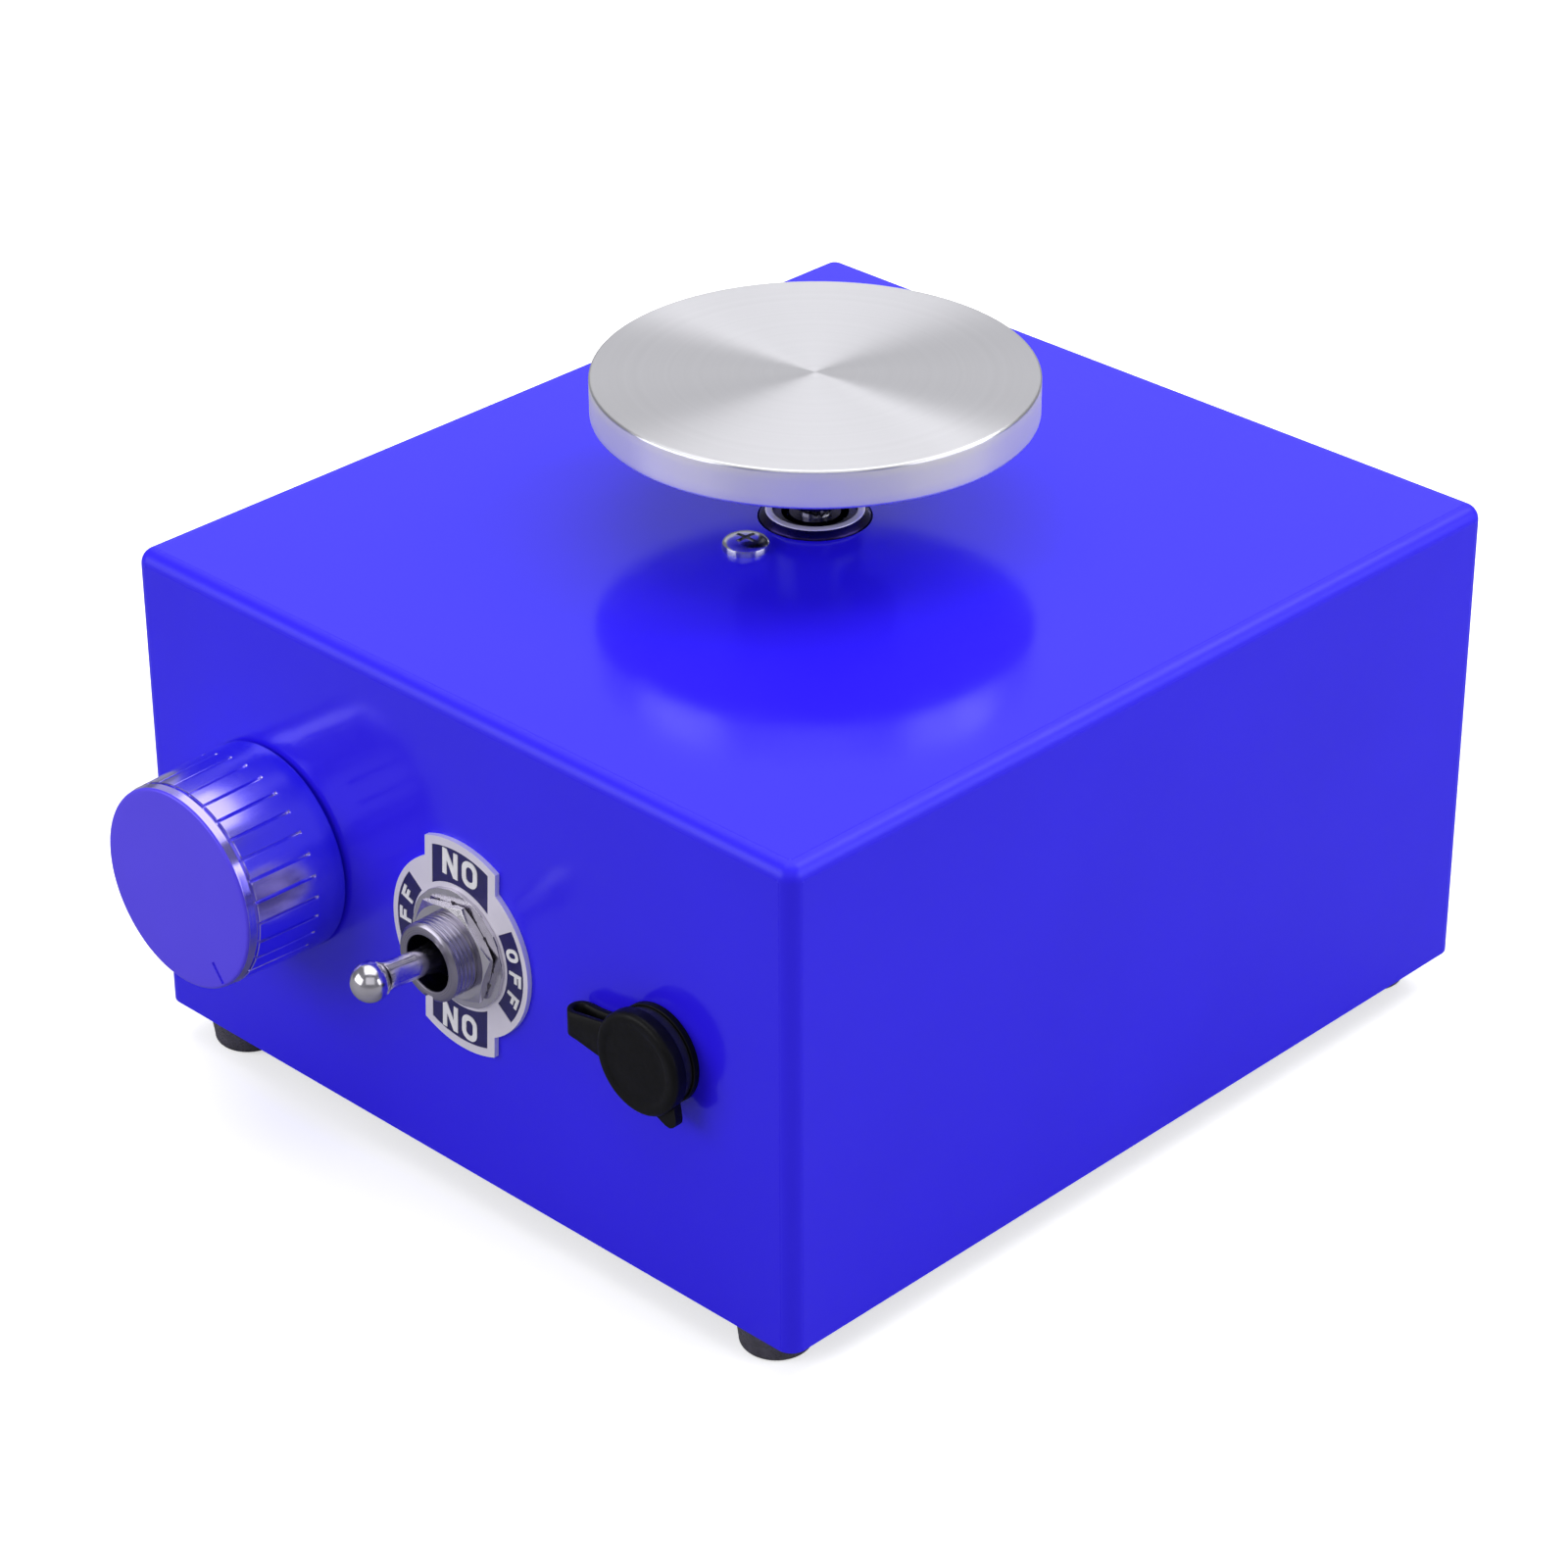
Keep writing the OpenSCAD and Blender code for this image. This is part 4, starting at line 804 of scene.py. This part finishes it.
steps = int((BUSHING_TOP - 0.45 - FRAME_Z) / THREAD_PITCH * 8)
profile = [(NECK_R, FRAME_Z)] + [(THREAD_R, FRAME_Z + (BUSHING_TOP - 0.4 - FRAME_Z) * i / steps)
                                 for i in range(steps + 1)]
profile += [(THREAD_R - 0.05, BUSHING_TOP - 0.35), (THREAD_R - 0.35, BUSHING_TOP - 0.06),
            (THREAD_R - 0.5, BUSHING_TOP), (MOUTH_R + 0.25, BUSHING_TOP),
            (MOUTH_R + 0.07, BUSHING_TOP - 0.07), (MOUTH_R, BUSHING_TOP - 0.25), (MOUTH_R, 2),
            (MOUTH_R, -2.5), (NECK_R, -3.2)]
key_edges = [270 + s * d for s in (-1, 1) for d in (8.4, 8.8)]
bushing = make("toggle_bushing_threaded",
               lathe(profile, sorted([3.75 * i for i in range(96)] + key_edges), thread_radius,
                     loop=True), at_switch, smooth=40)


# Inside the bushing's mouth and on the foot of the lever, a near-black navy steel is painted shade
# in the recess
two_finishes(bushing, bushing_finish, painted_shade_steel,
             lambda face, radius, z: radius < MOUTH_R + 0.2 and z < BUSHING_TOP - 0.2, at_switch)
finish_piece(bushing, "case", "nickel_chrome", "toggle_bushing")


def hex_nut(af, h, bore):
    """A hexagonal nut with turned corners: its blank, the cone that trims it and its bore."""
    corner = af / math.sqrt(3)
    blank = prism(arc(0, 0, corner, 0, 300, 5), 0, h)
    flare = [(0, 0), (af / 2 - 0.1, 0), (corner, 0.5), (corner + 0.3, 0.7),
             (corner + 0.3, h - 0.7), (corner, h - 0.5), (af / 2 - 0.1, h), (0, h)]
    return blank, lathe(flare, 96), rod(bore, -1, h + 1, 64)


NUT_AF, NUT_T, NUT_BORE_R, NUT_LOW, NUT_TURN = 14.4, 1.6, 5.9, 1.4, 12
at_nut = at_switch @ moved(0, 0, NUT_LOW) @ turned(NUT_TURN)
blank, cone, bore = hex_nut(NUT_AF, NUT_T, NUT_BORE_R)
nut = make("toggle_nut_chamfered", blank, at_nut)
carve(nut, cone, at_nut, "INTERSECT")
carve(nut, bore, at_nut)
ease(nut, 0.1, angle=20)
finish_piece(nut, "case", "nickel_chrome", "toggle_nut")

teeth_in, teeth_out = [], []
for i in range(12):
    for da, r in ((-9, 7.6), (-8.6, 6.15), (8.6, 6.15), (9, 7.6), (12, 7.6), (18, 7.6)):
        a = math.radians(30 * i + da + 15)
        teeth_in.append((r * math.cos(a), r * math.sin(a)))
        teeth_out.append((9.2 * math.cos(a), 9.2 * math.sin(a)))
tooth_washer = make("toggle_washer_toothed",
                    ring_prism(teeth_out, teeth_in, PLATE_T, NUT_LOW), at_switch)
ease(tooth_washer, 0.1)
finish_piece(tooth_washer, "case", "nickel_chrome", "toggle_lock_washer")

BALL_Z, BALL_R, PIVOT_Z, PIVOT_R, PIN_HOLE_R = 17.4, 2.95, 1.5, 4, 0.8
LEVER_REST = 6
profile = [(0, -12), (0.7, -11.8), (1.2, -10.8), (1.1, -10.2), (1.1, -9.4), (1.6, -9.1),
           (1.6, -2.2)]
profile += arc(0, PIVOT_Z, PIVOT_R, -66, 51, 18)
profile += [(2.42, 5.0), (2.3, 5.6), (2.12, 6.6), (1.98, 7.6), (1.97, 9), (1.99, 11), (2.05, 13.2),
            (2.12, 14.4), (2.2, 15.0), (2.28, 15.45)]
profile += arc(0, BALL_Z, BALL_R, -38, 90, 18)
at_lever = at_switch @ moved(0, 0, PIVOT_Z) @ turned(-LEVER_REST, "X") @ moved(0, 0, -PIVOT_Z)
lever = make("toggle_lever_bat", lathe(profile, 64), at_lever, smooth=50)
carve(lever, at(moved(0, 0, PIVOT_Z) @ turned(90, "Y"), rod(PIN_HOLE_R, -5, 5, 32)), at_lever,
      smooth=50)
# The lever's foot inside the bushing takes the same painted shade
two_finishes(lever, MATERIALS["nickel_chrome"], painted_shade_steel,
             lambda face, radius, z: radius < THREAD_R and z < BUSHING_TOP - 1.5, at_lever)
finish_piece(lever, "toggle_lever", "nickel_chrome", "toggle_lever")

# ------------------------------------------------------------ socket and cap
at_jack = on_panel(JACK.x)
STRAP_T, FLANGE_R, BARREL_R, STRAP_REACH, HINGE_Z = 1.1, 7, 5.8, 13.5, 2.1
CAP_R, CAP_LOW, CAP_TOP, CAP_ROUND, PULL_TURN, PULL_T = 7.75, 2.7, 5.1, 0.9, -52, 1.3
LEAF_LOW, LEAF_TOP = 3.1, 3.95
STRAP_HALF, TETHER_HALF_T, LEAF_HALF_T, TETHER_POINTS = 2, 0.5, 0.42, 6

outer, inner = (arc(0, 0, r, 0, 355, 71) for r in (FLANGE_R + 0.4, BARREL_R + 0.05))
tether = make("cap_tether_ring", ring_prism(outer, inner, 0, STRAP_T), at_jack)
ease(tether, 0.2, 3)
finish_piece(tether, "case", "cap_rubber", "cap_tether")

dome = [(1.7, 0.4), (2.5, 0.4), (2.7, 0.6), (2.7, CAP_LOW), (CAP_R - 0.3, CAP_LOW)]
dome += arc(CAP_R - 0.3, CAP_LOW + 0.3, 0.3, 270, 360, 4)[1:]
dome += arc(CAP_R - CAP_ROUND, CAP_TOP - CAP_ROUND, CAP_ROUND, 0, 90, 8)
dome += [(6.2, CAP_TOP), (5.9, CAP_TOP - 0.12), (5.5, CAP_TOP - 0.15), (4, CAP_TOP - 0.1),
         (2, CAP_TOP - 0.05), (0, CAP_TOP - 0.04), (0, 2.9), (1.5, 2.9), (1.7, 2.7)]
cap = make("dust_cap_moulded", lathe(dome, 96, loop=True), at_jack, smooth=45)
pull_shape = [(4, 2.7), (4, -2.7), (7.4, -2.3), (9.2, -1.3), (9.75, -0.75), (9.9, 0), (9.75, 0.75),
              (9.2, 1.3), (7.4, 2.3)]
carve(cap, at(turned(PULL_TURN), prism(pull_shape, CAP_LOW, CAP_LOW + PULL_T)), at_jack,
      "UNION", 45)
ease(cap, 0.18, 2, 50)
finish_piece(cap, "dust_cap", "cap_rubber", "dust_cap")

# The strap is one soft band: out from the ring, round the fold, and back onto the cap
path = [(x, STRAP_T / 2) for x in (-5.6, -7, -8.5, -10, -11.5, -12.6)]
path += [(-STRAP_REACH - 1.47 * math.sin(math.radians(a)),
          HINGE_Z - 1.5 * math.cos(math.radians(a))) for a in range(0, 181, 15)]
path += [(x, (LEAF_LOW + LEAF_TOP) / 2) for x in (-12.6, -11, -9.5, -8, -6.5, -5)]


def strap_half_at(i):
    """The strap widens towards the cap."""
    x, z = path[i]
    if z < HINGE_Z:
        return STRAP_HALF + max(0, (x + 11) * 0.18)
    return STRAP_HALF + max(0, (x + STRAP_REACH) / 9.5 * 1.6)


rows = []
for i, (x, z) in enumerate(path):
    a, b = path[max(i - 1, 0)], path[min(i + 1, len(path) - 1)]
    t = Vector((b[0] - a[0], b[1] - a[1])).normalized()
    half_t = TETHER_HALF_T if i < TETHER_POINTS else LEAF_HALF_T
    half_w = strap_half_at(i)
    row = []
    for u, v in ((-1, -0.6), (-0.94, -1), (0.94, -1), (1, -0.6), (1, 0.6), (0.94, 1), (-0.94, 1),
                 (-1, 0.6)):
        row.append((x - t.y * v * half_t, u * half_w, z + t.x * v * half_t))
    rows.append(row)
n = len(rows[0])
verts = [v for row in rows for v in row]
faces = [[i * n + k, i * n + (k + 1) % n, (i + 1) * n + (k + 1) % n, (i + 1) * n + k]
         for i in range(len(rows) - 1) for k in range(n)]
faces += [list(range(n))[::-1], [(len(rows) - 1) * n + k for k in range(n)]]
strap = make("cap_strap", (verts, faces), at_jack, smooth=60)
strap.data.materials.append(MATERIALS["cap_rubber"])


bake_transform(strap)

# --------------------------------------------------------------------- feet
FOOT_R, FOOT_H = 5.9, 6.2
for name in ("foot_front_left", "foot_front_right", "foot_rear_left", "foot_rear_right"):
    low, high, mid = cad_mm(name)
    side = arc(FOOT_R - 0.6 - 1.2, 1.2, 1.2, 270, 360, 8)
    side += [(FOOT_R - 0.5, 2.2), (FOOT_R - 0.32, 3.4), (FOOT_R - 0.12, 4.6)]
    side += arc(FOOT_R - 0.35, FOOT_H - 0.6, 0.35, 0, 90, 4)[:-1] + [(FOOT_R - 0.5, FOOT_H)]
    outline = [(3.1, 0.25), (3.3, 0)] + side + [(1.6, FOOT_H), (1.6, FOOT_H - 2),
                                                (3.1, FOOT_H - 2)]
    foot = make(name + "_moulded", lathe(outline, 80, loop=True), moved(mid.x, mid.y, 0))
    finish_piece(foot, "case", "foot_rubber", name)

# ----------------------------------------------------- floor, lights, camera
REACH, LIT_HEIGHT = 3000, 50
stage = make("floor", ([(-REACH, -REACH, 0), (REACH, -REACH, 0), (REACH, REACH, 0),
                        (-REACH, REACH, 0)], [[0, 1, 2, 3]]))
stage.data.materials.append(floor_finish)


def softbox(name, azimuth, elevation, distance, size, radiance):
    """A flat soft light that faces the object. Azimuth is from +X towards +Y, in degrees."""
    light = bpy.data.lights.new(name, "AREA")
    light.shape, light.size, light.size_y = "RECTANGLE", size[0], size[1]
    light.energy = math.pi * radiance * size[0] * size[1]
    obj = bpy.data.objects.new(name, light)
    bpy.context.scene.collection.objects.link(obj)
    a, e = math.radians(azimuth), math.radians(elevation)
    out = Vector((math.cos(a) * math.cos(e), math.sin(a) * math.cos(e), math.sin(e)))
    obj.location = Vector((0, 0, LIT_HEIGHT * MM)) + out * distance
    obj.rotation_euler = out.to_track_quat("Z", "Y").to_euler()


# Azimuth and elevation in degrees, distance and size in metres, and radiance
for light in (("light_top", 134, 80, 1.15, (1.3, 1.3), 1.75),
              ("light_key", 64, 46, 1.2, (0.5, 0.35), 6.0),
              ("light_back", 134, 33, 1.3, (1.7, 0.95), 0.46),
              ("light_right", 25, 20, 1.2, (1.0, 0.6), 2.9),
              ("light_left", -118, 20, 1.2, (1.0, 0.6), 3.3),
              ("light_front", -46, 35, 1.2, (1.0, 0.8), 0.65)):
    softbox(*light)

# A dim even room for the object, and a white ground in view
world = bpy.data.worlds.new("studio")
bpy.context.scene.world = world
world.use_nodes = True
tree = world.node_tree
back = tree.nodes["Background"]
back.inputs["Color"].default_value = (0.95, 0.96, 1, 1)
back.inputs["Strength"].default_value = 0.24
seen = tree.nodes.new("ShaderNodeBackground")
seen.inputs["Color"].default_value = (1, 1, 1, 1)
path_kind = tree.nodes.new("ShaderNodeLightPath")
mix = tree.nodes.new("ShaderNodeMixShader")
tree.links.new(path_kind.outputs["Is Camera Ray"], mix.inputs[0])
tree.links.new(back.outputs[0], mix.inputs[1])
tree.links.new(seen.outputs[0], mix.inputs[2])
tree.links.new(mix.outputs[0], tree.nodes["World Output"].inputs["Surface"])

# Viewpoint in the shared frame, in mm: right of, in front of and above the object
EYE = Vector((430.4, -437.9, 394.7))
YAW, PITCH, ROLL = (math.radians(a) for a in (44.28, 29.75, -0.21))
ahead = Vector((-math.sin(YAW) * math.cos(PITCH), math.cos(YAW) * math.cos(PITCH),
                -math.sin(PITCH)))
side = ahead.cross(Vector((0, 0, 1))).normalized()
over = side.cross(ahead)
right = math.cos(ROLL) * side + math.sin(ROLL) * over
upward = math.cos(ROLL) * over - math.sin(ROLL) * side
lens = bpy.data.cameras.new("camera")
lens.lens, lens.sensor_width, lens.clip_start, lens.clip_end = 108.85, 36, 0.01, 50
camera = bpy.data.objects.new("camera", lens)
bpy.context.scene.collection.objects.link(camera)
camera.matrix_world = Matrix.Translation(EYE * MM) @ Matrix(
    (right, upward, -ahead)).transposed().to_4x4()
bpy.context.scene.camera = camera
bpy.context.scene.view_settings.view_transform = "Standard"
